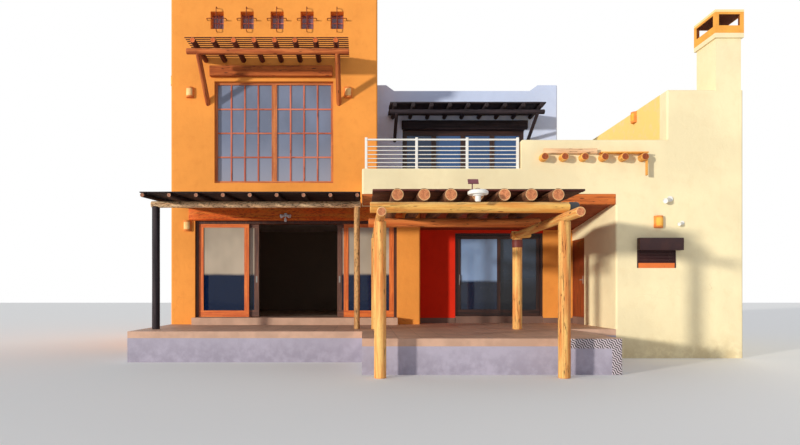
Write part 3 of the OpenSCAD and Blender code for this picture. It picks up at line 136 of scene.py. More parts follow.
class Shader(Nodes):
    """A material under construction: each call adds a node and gives back its output."""

    def __init__(self, name, roughness, specular, metallic=0.0):
        self.material = bpy.data.materials.new(name)
        self.material.use_nodes = True
        super().__init__(self.material.node_tree)
        self.surface = self.tree.nodes["Principled BSDF"]
        self.put(self.surface, "Roughness", roughness)
        self.put(self.surface, "Metallic", metallic)
        self.put(self.surface, "Specular IOR Level", specular)

    def place(self):
        """The point's place in the house's own frame, in metres."""
        return self.add("TexCoord", "Object")

    def normal(self):
        return self.add("NewGeometry", "Normal")

    def stored(self, name, output="Fac"):
        return self.add("Attribute", output, attribute_name=name)

    def scaled(self, vector, scale):
        return self.add("Mapping", "Vector", {"Vector": vector, "Scale": scale})

    def sized(self, vector, scale):
        """A pattern's vector and scale. The scale may be one number, or one for each axis."""
        return (self.scaled(vector, scale), 1.0) if isinstance(scale, tuple) else (vector, scale)

    def noise(self, vector, scale, detail=3.0, roughness=0.5, distortion=0.0, output="Fac"):
        vector, scale = self.sized(vector, scale)
        return self.add("TexNoise", output, {
            "Vector": vector, "Scale": scale, "Detail": detail, "Roughness": roughness,
            "Distortion": distortion})

    def cells(self, vector, scale, feature="F1"):
        vector, scale = self.sized(vector, scale)
        return self.add("TexVoronoi", "Distance", {"Vector": vector, "Scale": scale},
                        feature=feature)

    def times(self, first, second):
        return self.math("MULTIPLY", first, second)

    def plus(self, first, second):
        return self.math("ADD", first, second)

    def minus(self, first, second):
        return self.math("SUBTRACT", first, second)

    def vector(self, operation, first, second=(0.0, 0.0, 0.0)):
        return self.add("VectorMath", "Vector", {0: first, 1: second}, operation=operation)

    def split(self, vector):
        """The X, Y and Z of a vector."""
        node = self.tree.nodes.new("ShaderNodeSeparateXYZ")
        self.put(node, 0, vector)
        return node.outputs

    def steps(self, value, low, high):
        """0 below low and 1 above high, or the other way round where low is the larger."""
        rising = low < high
        return self.add("MapRange", "Result", {
            "Value": value, "From Min": min(low, high), "From Max": max(low, high),
            "To Min": 0.0 if rising else 1.0, "To Max": 1.0 if rising else 0.0},
            interpolation_type="SMOOTHSTEP")

    def mix(self, factor, first, second, blend="MIX"):
        return self.add("Mix", 2, {0: factor, 6: tinted(first), 7: tinted(second)},
                        data_type="RGBA", blend_type=blend)

    def over(self, colour, where, share, other):
        """A colour with another laid over it as strongly as share, where the mask is 1."""
        return self.mix(self.times(where, share), colour, other)

    def bump(self, height, distance, strength=1.0, after=None):
        inputs = {"Height": height, "Distance": distance, "Strength": strength}
        if after is not None:
            inputs["Normal"] = after
        return self.add("Bump", "Normal", inputs)

    def off_middle(self, along, shift, course):
        """How far a point is from the middle of its course, which reaches 0.5 to both sides."""
        row = self.math("DIVIDE", self.plus(along, shift), course)
        return self.math("ABSOLUTE", self.minus(self.math("FRACT", row), 0.5))

    def inside(self, place, rooms):
        """1 where the point lies in one of the rooms, each given by its two corners."""
        found = 0.0
        for low, high in rooms:
            middle = [(a + b) / 2 for a, b in zip(low, high)]
            half = [(b - a) / 2 for a, b in zip(low, high)]
            off = self.vector("ABSOLUTE", self.vector("SUBTRACT", place, middle))
            x, y, z = self.split(self.vector("SUBTRACT", off, half))
            outer = self.math("MAXIMUM", self.math("MAXIMUM", x, y), z)
            found = self.math("MAXIMUM", found, self.math("LESS_THAN", outer, 0.0))
        return found

    def done(self, colour, normal=None):
        self.put(self.surface, "Base Color", tinted(colour))
        if normal is not None:
            self.put(self.surface, "Normal", normal)
        return self.material


# The rooms, so that the walls' inner faces show plaster, darkened there as painted shade of the dim
# rooms. They reach a little into the walls
REACH = 0.002
LEFT_X = -4.956 - REACH
RIGHT_X = 8.8 + REACH
TOWER_Y = 0.35 - REACH
WING_Y = -1.917 - REACH
REAR_Y = 6.65 + REACH
STOREY_Z = 3.95
ROOMS = [
    ((LEFT_X, TOWER_Y, 0.0), (1.62, REAR_Y, STOREY_Z)),
    ((LEFT_X, TOWER_Y, STOREY_Z), (0.08 + REACH, REAR_Y, 9.7)),
    ((0.43 - REACH, 1.583 - REACH, 4.3), (5.61 + REACH, REAR_Y, 7.1)),
    ((1.5, 1.03 - REACH, 0.0), (RIGHT_X, REAR_Y, STOREY_Z)),
    ((6.446 - REACH, WING_Y, 0.0), (RIGHT_X, REAR_Y, STOREY_Z)),
    ((7.67 - REACH, WING_Y, STOREY_Z), (RIGHT_X, REAR_Y, 5.85)),
]


def stucco(name, wall, stain, rooms=ROOMS, beyond=None):
    """Sand-floated stucco: clouds of tone, trowel waves, a fine grain, rain marks, a splashed foot
    and hairline cracks. beyond is the X past which the wall has another colour, and that colour."""
    s = Shader(name, roughness=0.9, specular=0.25)
    place = s.place()
    x, _, height = s.split(place)
    cloud = s.noise(place, 0.55, 3.0, 0.55)
    mottle = s.noise(place, 4.5, 6.0, 0.62)
    grain = s.noise(place, 210.0, 3.0, 0.7)
    trowel = s.noise(place, 7.0, 4.0, 0.5, 0.6)
    colour = s.mix(s.steps(cloud, 0.36, 0.66), paint(wall, 0.93), paint(wall, 1.05))
    if beyond is not None:
        edge, other = beyond
        colour = s.mix(s.math("GREATER_THAN", x, edge), colour, other)
    colour = s.over(colour, s.steps(mottle, 0.48, 0.72), 0.17, stain)
    colour = s.over(colour, s.steps(grain, 0.62, 0.42), 0.10, paint(stain, 0.7))
    runs = s.noise(place, (5.5, 5.5, 0.35), 5.0, 0.6)
    colour = s.over(colour, s.steps(runs, 0.60, 0.78), 0.20, stain)
    splash = s.times(s.steps(height, 0.75, 0.0), s.steps(mottle, 0.30, 0.62))
    colour = s.over(colour, splash, 0.55, paint(stain, 0.75))
    bent = s.vector("ADD", place, s.scaled(s.noise(place, 1.7, 4.0, output="Color"), (0.7,) * 3))
    hair = s.cells(bent, 0.55, feature="DISTANCE_TO_EDGE")
    crack = s.times(s.steps(hair, 0.0028, 0.0), s.steps(cloud, 0.55, 0.63))
    colour = s.over(colour, crack, 0.22, paint(stain, 0.5))
    # Inner faces of the rooms take the plaster colour, which is darkened as painted shade
    if rooms:
        colour = s.mix(s.inside(place, rooms), colour, SHADED_PLASTER)
    normal = s.bump(trowel, 0.012, 0.55)
    return s.done(colour, s.bump(grain, 0.0022, 0.8, normal))


def timber(name, pale, deep, crack, end_pale, end_deep, rim_colour, roughness=0.72,
           weather=None, bark=0.0):
    """Wood with fibres, streaks, knots and drying cracks along it, and rings on cut ends. weather
    is the colour that its upper side has bleached to and how strongly, and bark is the share of
    dark scaly patches left on it."""
    ring_width = 0.0065
    s = Shader(name, roughness=roughness, specular=0.3)
    grain = s.stored("grain", "Vector")
    tone = s.stored("tone")
    rim = s.stored("rim")
    end = s.stored("end")
    fibre = s.noise(grain, (5.0, 95.0, 95.0), 4.0, 0.7)
    streak = s.noise(grain, (0.7, 13.0, 13.0), 4.0, 0.6)
    side = s.mix(s.steps(streak, 0.34, 0.66), deep, pale)
    side = s.over(side, s.steps(fibre, 0.56, 0.34), 0.35, deep)
    knot = s.cells(grain, (2.2, 9.0, 9.0))
    side = s.over(side, s.steps(knot, 0.17, 0.08), 0.8, crack)
    if weather is not None:
        up = s.steps(s.split(s.normal())[2], 0.25, 0.95)
        bleached, share = weather
        side = s.over(side, s.times(up, s.steps(streak, 0.30, 0.60)), share, bleached)
    slit = s.noise(grain, (1.3, 30.0, 30.0), 2.0, 0.5)
    slit = s.steps(s.math("ABSOLUTE", s.minus(slit, 0.5)), 0.013, 0.004)
    patch = s.steps(s.noise(grain, (0.9, 5.0, 5.0), 2.0), 0.47, 0.56)
    slit = s.times(slit, patch)
    side = s.over(side, slit, 0.85, crack)
    if bark:
        scaly = s.noise(grain, (14.0, 36.0, 36.0), 5.0, 0.65)
        side = s.over(side, s.steps(scaly, 0.50, 0.60), bark, crack)
    _, y, z = s.split(grain)
    waved = s.noise(grain, 22.0, 3.0, 0.5)
    out = s.math("SQRT", s.plus(s.times(y, y), s.times(z, z)))
    out = s.plus(out, s.times(waved, 0.014))
    rings = s.math("SINE", s.times(out, 2 * math.pi / ring_width))
    cut = s.mix(s.steps(rings, -0.6, 0.9), end_deep, end_pale)
    turn = s.math("ARCTAN2", z, y)
    ray = s.noise(grain, (0.0, 34.0, 34.0), 3.0)
    spoke = s.math("SINE", s.plus(s.times(turn, 4.0), s.times(ray, 9.0)))
    spoke = s.times(s.steps(spoke, 0.985, 0.999), s.steps(rim, 0.10, 0.35))
    cut = s.over(cut, spoke, 0.85, crack)
    blotch = s.noise(grain, (0.0, 11.0, 11.0), 3.0, 0.6)
    cut = s.over(cut, s.steps(blotch, 0.46, 0.66), 0.55, paint(end_deep, 0.75))
    cut = s.mix(s.steps(rim, 0.90, 0.97), cut, rim_colour)
    colour = s.mix(end, side, cut)
    colour = s.mix(1.0, colour, s.mix(tone, (228, 226, 222), (255, 255, 255)), "MULTIPLY")
    normal = s.bump(fibre, 0.0022, 0.6)
    deepest = s.times(slit, s.minus(1.0, end))
    return s.done(colour, s.bump(deepest, -0.006, 0.9, normal))


def joinery(name, pale, deep, rails=()):
    """Oiled wood of frames and door leaves. Its grain is upright, and level within the heights
    of the rails."""
    s = Shader(name, roughness=0.45, specular=0.45)
    place = s.place()
    height = s.split(place)[2]
    level = 0.0
    for low, high in rails:
        off = s.math("ABSOLUTE", s.minus(height, (low + high) / 2))
        level = s.math("MAXIMUM", level, s.math("LESS_THAN", off, (high - low) / 2))
    grain = s.mix(level, s.scaled(place, (1.0, 1.0, 0.05)), s.scaled(place, (0.05, 1.0, 1.0)))
    streak = s.noise(grain, 26.0, 4.0, 0.6)
    pore = s.noise(grain, 190.0, 3.0, 0.7)
    wear = s.noise(place, 5.0, 4.0, 0.6)
    colour = s.mix(s.steps(streak, 0.35, 0.68), deep, pale)
    colour = s.over(colour, s.steps(pore, 0.58, 0.38), 0.4, paint(deep, 0.6))
    colour = s.over(colour, s.steps(wear, 0.55, 0.75), 0.25, paint(pale, 1.2))
    return s.done(colour, s.bump(pore, 0.0012, 0.5))


def glass(name, tint, alpha, low=None, horizon=0.0, blur=0.05, specular=0.6):
    """Tinted glass with a little dust and slight waves. Its tint, which varies in clouds, is a painted
    reflection.
    Below the height horizon it turns to the colour low, a painted reflection of the open ground that tall
    panes face."""
    s = Shader(name, roughness=0.05, specular=specular)
    place = s.place()
    reflection_cloud = s.noise(place, (0.8, 0.8, 0.5), 3.0, 0.5)
    dust = s.noise(place, 16.0, 5.0, 0.65)
    colour = s.mix(s.steps(reflection_cloud, 0.35, 0.65), paint(tint, 0.80), paint(tint, 1.10))
    if low is not None:
        wavy = s.plus(s.split(place)[2], s.times(reflection_cloud, 0.06))
        colour = s.mix(s.steps(wavy, horizon + blur, horizon - blur), colour, low)
    colour = s.over(colour, s.steps(dust, 0.55, 0.8), 0.12, (190, 186, 180))
    s.surface.inputs["Alpha"].default_value = alpha
    s.surface.inputs["IOR"].default_value = 1.5
    wave = s.noise(place, 1.6, 2.0)
    return s.done(colour, s.bump(wave, 0.01, 0.15))


def metal_paint(name, colour, chip, roughness=0.38, chips=0.66):
    """Enamel with small chips and dust."""
    s = Shader(name, roughness=roughness, specular=0.5)
    place = s.place()
    wear = s.noise(place, 38.0, 5.0, 0.65)
    dust = s.noise(place, 3.0, 4.0, 0.6)
    shown = s.over(colour, s.steps(dust, 0.42, 0.7), 0.18, paint(chip, 1.3))
    shown = s.mix(s.steps(wear, chips, chips + 0.05), shown, chip)
    return s.done(shown, s.bump(wear, 0.0012, 0.35))


def iron(name):
    """Wrought iron under rust."""
    s = Shader(name, roughness=0.62, metallic=0.35, specular=0.4)
    place = s.place()
    rust = s.noise(place, 30.0, 6.0, 0.7)
    scale = s.noise(place, 160.0, 3.0, 0.6)
    colour = s.mix(s.steps(rust, 0.36, 0.62), (70, 34, 26), (150, 66, 34))
    return s.done(colour, s.bump(scale, 0.0016, 0.7))


def zebra(name, pale, dark):
    """Glazed tiles with the traditional pattern of wavy slanting stripes, three to a tile."""
    s = Shader(name, roughness=0.28, specular=0.5)
    place = s.place()
    x, _, z = s.split(place)
    round_trip = 2 * math.pi / TILE
    swing = s.times(s.math("SINE", s.times(s.minus(x, z), round_trip)), 1.7)
    slant = s.times(s.plus(x, z), 3 * round_trip)
    stripe = s.steps(s.math("SINE", s.plus(slant, swing)), -0.10, 0.14)
    glaze = s.noise(place, 30.0, 4.0, 0.6)
    colour = s.mix(stripe, dark, pale)
    colour = s.over(colour, s.steps(glaze, 0.5, 0.75), 0.25, (150, 130, 130))
    return s.done(colour, s.bump(glaze, 0.0008, 0.3))


def paving(name, stone, joint, tile=0.45):
    """Honed paving in square tiles, with joints on the level faces only."""
    s = Shader(name, roughness=0.62, specular=0.35)
    place = s.place()
    up = s.steps(s.split(s.normal())[2], 0.6, 0.8)
    lines = 0.0
    for part in s.split(place)[:2]:
        lines = s.math("MAXIMUM", lines, s.steps(s.off_middle(part, 20.0, tile), 0.487, 0.496))
    lines = s.times(lines, up)
    cloud = s.noise(place, 2.2, 5.0, 0.6)
    speck = s.noise(place, 60.0, 4.0, 0.7)
    colour = s.mix(s.steps(cloud, 0.35, 0.7), paint(stone, 0.86), paint(stone, 1.08))
    colour = s.over(colour, s.steps(speck, 0.58, 0.74), 0.3, paint(stone, 0.6))
    colour = s.mix(lines, colour, joint)
    normal = s.bump(speck, 0.0015, 0.5)
    return s.done(colour, s.bump(lines, -0.004, 0.8, normal))


def roofing(name, top, edge):
    """The roof slabs' pale coating, with clouds of tone and darker grit."""
    s = Shader(name, roughness=0.88, specular=0.2)
    place = s.place()
    cloud = s.noise(place, 1.1, 5.0, 0.6)
    grit = s.noise(place, 120.0, 3.0, 0.7)
    colour = s.mix(s.steps(cloud, 0.38, 0.66), top, edge)
    colour = s.over(colour, s.steps(grit, 0.56, 0.7), 0.25, paint(edge, 0.7))
    return s.done(colour, s.bump(grit, 0.002, 0.6))


def boarded(name, pale, deep):
    """Stained boards laid side by side across Y, for a ceiling that is one solid."""
    s = Shader(name, roughness=0.7, specular=0.3)
    place = s.place()
    board = 0.14
    gap = s.steps(s.off_middle(s.split(place)[1], 10.0, board), 0.455, 0.485)
    each = s.noise(place, (0.2, 1.0 / board, 0.0))
    streak = s.noise(place, (1.2, 38.0, 38.0), 4.0, 0.6)
    colour = s.mix(s.steps(streak, 0.34, 0.68), deep, pale)
    colour = s.over(colour, s.steps(each, 0.4, 0.6), 0.4, deep)
    colour = s.mix(gap, colour, paint(deep, 0.2))
    normal = s.bump(streak, 0.002, 0.6)
    return s.done(colour, s.bump(gap, -0.008, 1.0, normal))


def cap_stucco(name, wall, edge, inside_shade, box):
    """The chimney cap's stucco: a paler top edge, and painted shade darkening the faces inside the box's
    outer ones.
    """
    s = Shader(name, roughness=0.9, specular=0.2)
    place = s.place()
    low, high = box
    top_edge, skin = 0.055, 0.02
    cloud = s.noise(place, 3.0, 5.0, 0.6)
    grain = s.noise(place, 150.0, 3.0, 0.7)
    colour = s.mix(s.steps(cloud, 0.36, 0.66), paint(wall, 0.90), paint(wall, 1.05))
    top = s.math("GREATER_THAN", s.split(place)[2], high.z - top_edge)
    colour = s.mix(top, colour, edge)
    hollow = (low + Vector((skin, skin, 0)), high - Vector((skin, skin, skin)))
    colour = s.over(colour, s.inside(place, [hollow]), 0.9, inside_shade)
    return s.done(colour, s.bump(grain, 0.0022, 0.8))


def clay(name, body, stain):
    """Burnt clay of the wall lamps and their panels."""
    s = Shader(name, roughness=0.82, specular=0.25)
    place = s.place()
    cloud = s.noise(place, 3.5, 5.0, 0.6)
    grit = s.noise(place, 90.0, 4.0, 0.7)
    colour = s.mix(s.steps(cloud, 0.36, 0.68), stain, body)
    colour = s.over(colour, s.steps(grit, 0.58, 0.74), 0.3, paint(stain, 0.7))
    return s.done(colour, s.bump(grit, 0.002, 0.7))


def leaf_rails(node, bottom=0.18, top=0.10):
    """The heights of a glazed leaf's bottom and top rails."""
    low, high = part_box(node)
    return (low.z, low.z + bottom), (high.z - top, high.z)


MATERIALS = {
    "orange": stucco("orange_stucco", ORANGE, ORANGE_STAIN),
    "cream": stucco("cream_stucco", CREAM, CREAM_STAIN),
    # The upper room's walls: white tinted blue-grey as painted shade, and yellow beyond X 6.5
    "cool": stucco("shaded_white_stucco", SHADED_WHITE, SHADED_WHITE_STAIN, beyond=(6.5, SUNNY)),
    "red": stucco("red_stucco", RED, RED_STAIN),
    "grey": stucco("grey_stucco", GREY_STUCCO, GREY_STAIN, rooms=()),
    "plaster": stucco("floor_plaster", CEILING, GREY_STAIN, rooms=()),
    "cap": cap_stucco("cap_stucco", CAP_ORANGE, (255, 222, 160), (92, 26, 20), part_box("chimney_cap")),
    "log": timber("peeled_log", (255, 210, 126), (228, 140, 70), (98, 44, 20), (244, 166, 114),
        (190, 112, 72), (255, 214, 156), weather=((250, 206, 146), 0.4), bark=0.10),
    # The vigas' sides are darkened as painted shade under the deck; their cut ends keep the logs' own
    # colour
    "viga": timber("shaded_log", (150, 100, 66), (96, 60, 42), (50, 26, 16), (246, 168, 116),
        (196, 114, 74), (255, 214, 156)),
    "rear_log": timber("orange_log", (246, 146, 74), (206, 104, 46), (84, 32, 16), (226, 140, 92),
        (164, 88, 52), (246, 180, 120), weather=((246, 186, 130), 0.3)),
    "awning": timber("awning_log", (234, 134, 70), (168, 78, 38), (70, 26, 14), (232, 122, 60),
        (184, 82, 38), (240, 152, 92), weather=((240, 186, 136), 0.4)),
    # The awning rafters' sides are darkened as painted shade; their cut ends keep the orange of the
    # awning's wood
    "awning_pole": timber("shaded_awning_log", (134, 66, 42), (82, 38, 26), (40, 16, 10), (250, 132, 62),
        (206, 92, 40), (244, 150, 90), weather=((190, 128, 92), 0.3)),
    "slats": timber("awning_slat", (110, 50, 40), (64, 28, 24), (30, 12, 10), (150, 76, 50),
        (104, 46, 34), (150, 76, 50), weather=((150, 100, 78), 0.35)),
    "beam": timber("stained_beam", (226, 124, 56), (178, 86, 36), (60, 20, 10), (206, 112, 62),
        (150, 68, 34), (200, 110, 60), weather=((232, 166, 112), 0.3)),
    "header": timber("rough_header", (255, 148, 56), (255, 106, 30), (176, 52, 16), (224, 120, 66),
        (164, 72, 36), (214, 116, 64), bark=0.5),
    "dark": timber("dark_log", (62, 40, 38), (32, 22, 26), (12, 8, 10), (214, 150, 118), (150, 92, 70),
        (232, 186, 150), weather=((108, 88, 82), 0.35)),
    "bleached": timber("weathered_beam", (255, 222, 178), (244, 190, 140), (100, 58, 38), (200, 150, 108),
        (140, 96, 68), (216, 170, 126), bark=0.75),
    "pale_plank": timber("pale_plank", (246, 206, 164), (226, 176, 130), (120, 70, 46), (226, 172, 126),
        (190, 130, 88), (226, 172, 126)),
    "slate": timber("slate_dark_wood", (64, 52, 58), (34, 28, 36), (12, 10, 14), (54, 42, 46),
        (32, 24, 28), (70, 54, 54), weather=((92, 86, 98), 0.5), bark=0.3),
    "frame": joinery("oiled_frame", (224, 134, 70), (176, 92, 46),
        leaf_rails("large_window", 0.07, 0.07)),
    "door": joinery("dark_door_wood", (74, 42, 34), (36, 20, 18),
        (*leaf_rails("recess_leaf"), *leaf_rails("upper_doors", 0.20, 0.14))),
    "side_door": joinery("brown_door_wood", (156, 64, 32), (96, 34, 18)),
    "orange_door": joinery("oiled_door_wood", (255, 140, 62), (214, 98, 42), leaf_rails("left_leaf")),
    # A darker copy of the oiled door wood, as painted shade on the sliding leaves behind the fixed ones
    "brown_door": joinery("shaded_door_wood", (136, 90, 70), (84, 54, 46), leaf_rails("left_leaf")),
    "reveal": joinery("dark_jamb", (98, 58, 40), (54, 30, 24)),
    # The panes' tints, and the colours they turn to below their horizons, are painted reflections
    "large_pane": glass("large_window_pane", (122, 132, 158), 0.86, (158, 160, 178), 5.3, 0.8),
    "door_pane": glass("tall_door_pane", (196, 180, 160), 0.90, (12, 30, 62), 2.12, specular=0.3),
    "recess_pane": glass("recess_door_pane", (138, 166, 208), 0.92, (30, 40, 62), 1.95, specular=0.4),
    "dark_pane": glass("dark_door_pane", (50, 62, 80), 0.92, (22, 24, 34), 1.95, 0.3, specular=0.4),
    "blue_pane": glass("upper_door_pane", (40, 84, 140), 0.88, (34, 58, 100), 5.2, 0.3),
    "small_pane": glass("small_window_pane", (122, 88, 110), 0.88),
    "rear_pane": glass("rear_window_pane", (104, 114, 134), 0.9, (70, 78, 98), 5.2, 0.5),
    "front_log": timber("hewn_log", (255, 206, 112), (238, 156, 72), (120, 56, 24), (226, 142, 86),
        (190, 102, 54), (246, 196, 140), weather=((255, 222, 160), 0.5), bark=0.08),
    "deck": timber("deck_board", (128, 76, 50), (66, 40, 30), (30, 16, 12), (150, 92, 60), (96, 56, 38),
        (150, 92, 60), weather=((140, 112, 96), 0.5)),
    "tan_log": timber("tan_log", (236, 184, 122), (196, 134, 80), (70, 40, 22), (206, 140, 96),
        (150, 92, 58), (226, 170, 122), bark=0.5),
    "wall_log": timber("wall_log", (255, 196, 104), (240, 160, 74), (90, 40, 18), (200, 106, 58),
        (140, 64, 34), (244, 170, 100), weather=((255, 214, 150), 0.5)),
    "bars": timber("glazing_bar", (236, 136, 104), (200, 96, 68), (110, 50, 34), (200, 110, 76),
        (160, 80, 52), (200, 110, 76), roughness=0.5),
    "zebra": zebra("wavy_tiles", (214, 200, 206), (36, 28, 32)),
    "panel": clay("lamp_panel", (255, 214, 150), (250, 188, 116)),
    "warm_panel": clay("warm_lamp_panel", (255, 190, 84), (252, 166, 60)),
    # The post's band, dark red-brown partly as painted shade below the corbel
    "band": metal_paint("post_band_paint_and_shade", (112, 40, 30), (70, 30, 24), 0.6),
    "iron": iron("rusted_iron"),
    "white": metal_paint("white_enamel", (240, 238, 232), (176, 150, 120), 0.35),
    "shutter": metal_paint("brown_enamel", (58, 20, 20), (104, 54, 38), 0.5, 0.72),
    "shutter_bar": metal_paint("shutter_bar_enamel", (232, 118, 48), (120, 64, 44), 0.45),
    "black": metal_paint("black_fitting", (40, 40, 44), (80, 76, 74), 0.5, 0.7),
    "grey_plastic": metal_paint("grey_fitting", (226, 220, 222), (160, 150, 146), 0.5),
    "solar": metal_paint("solar_panel", (104, 44, 56), (150, 90, 96), 0.25, 0.75),
    "steel": metal_paint("brushed_handle", (150, 146, 142), (96, 92, 90), 0.3, 0.7),
    "paving": paving("porch_paving", (204, 164, 140), (132, 106, 94)),
    "floor_tile": paving("floor_tiles", (200, 168, 144), (140, 116, 100), 0.40),
    "skirting": paving("stone_skirting", (126, 96, 84), (90, 70, 62)),
    "roof": roofing("roof_coating", (226, 220, 208), (210, 202, 188)),
    "soffit": boarded("soffit_boards", (190, 92, 48), (124, 50, 26)),
    "clay": clay("burnt_clay", (250, 162, 82), (216, 116, 56)),
}

# The finish of each CAD node that stays in view
FINISHES = {
    "orange": ["tower_front_wall", "tower_side_walls", "tower_back_wall", "door_side_walls"],
    "cream": ["wing_front_wall", "wing_right_wall", "wing_back_wall", "recess_side_wall",
              "balcony_parapet", "chimney_shaft"],
    # Painted shade: the upper room's walls are tinted blue-grey
    "cool": ["upper_front_wall", "terrace_side_walls"],
    "grey": ["porch_walls"],
    "paving": ["porch_floor", "sill_walls"],
    "roof": ["roof_slabs"],
    "cap": ["chimney_cap"],
    "soffit": ["recess_soffit"],
    "frame": ["large_window", "small_windows", "rear_windows"],
    "door": ["recess_door_frame", "recess_leaf", "upper_doors"],
    # The sliding leaves' darker wood is painted shade
    "brown_door": ["left_leaf", "right_leaf"],
    "side_door": ["side_door", "side_door_frame"],
    "door_pane": ["left_leaf_glass", "right_leaf_glass"],
    "recess_pane": ["recess_leaf_glass"],
    "iron": ["window_grilles"],
}


def wall_beside_recess_door(face):
    return "red" if face.center.x < 4 else "orange"


def lintel(face):
    return "red" if face.center.x < 5.5 else "cream"


def door_frame_part(face):
    """The fixed leaves lie in a thin layer of the frame, before the sliding ones."""
    return "orange_door" if 0.10 < face.center.y < 0.16 else "reveal"


def floor_side(face):
    """Tiles on top, plaster below, stone along the edges."""
    if abs(face.normal.z) < 0.5:
        return "skirting"
    return "floor_tile" if face.normal.z > 0 else "plaster"


def pane_kind(face):
    """Which window a sheet of glass belongs to, told by its storey and depth."""
    middle = face.center
    if middle.y > 2:
        return "rear_pane"
    if middle.y > 1.3:
        return "blue_pane"
    if middle.y > 0.5:
        return "dark_pane"
    if middle.z > 8.5:
        return "small_pane"
    return "large_pane" if middle.z > 4 else "door_pane"


# The finish of a node's faces where it isn't the same all over
MIXED_FINISHES = {
    "recess_walls": wall_beside_recess_door,
    "door_lintels": lintel,
    "tower_door_frame": door_frame_part,
    "window_glass": pane_kind,
    "ground_floor": floor_side,
    "first_floor": floor_side,
    "second_floor": floor_side,
}


def dress_nodes():
    """Gives each CAD node that stays in view its finish."""
    for finish, nodes in FINISHES.items():
        for node in nodes:
            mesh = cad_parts[node].data
            mesh.materials.clear()
            mesh.materials.append(MATERIALS[finish])
    for node, kind in MIXED_FINISHES.items():
        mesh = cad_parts[node].data
        mesh.materials.clear()
        found = []
        for face in mesh.polygons:
            finish = kind(face)
            if finish not in found:
                found.append(finish)
                mesh.materials.append(MATERIALS[finish])
            face.material_index = found.index(finish)


def solids(node):
    """The box of each separate solid in a CAD node, from left to right."""
    mesh = bmesh.new()
    mesh.from_mesh(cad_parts[node].data)
    bmesh.ops.remove_doubles(mesh, verts=mesh.verts, dist=1e-5)
    left = set(mesh.verts)
    boxes = []
    while left:
        waiting = [left.pop()]
        places = []
        while waiting:
            vertex = waiting.pop()
            places.append(vertex.co.copy())
            for edge in vertex.link_edges:
                other = edge.other_vert(vertex)
                if other in left:
                    left.discard(other)
                    waiting.append(other)
        low = Vector(min(p[i] for p in places) for i in range(3))
        high = Vector(max(p[i] for p in places) for i in range(3))
        boxes.append((low, high))
    mesh.free()
    return sorted(boxes, key=lambda box: tuple(round(part, 3) for part in box[0]))


def middle_line(low, high, along):
    """The two ends of a box's middle line along one axis."""
    start = (low + high) / 2
    end = start.copy()
    start[along], end[along] = low[along], high[along]
    return start, end


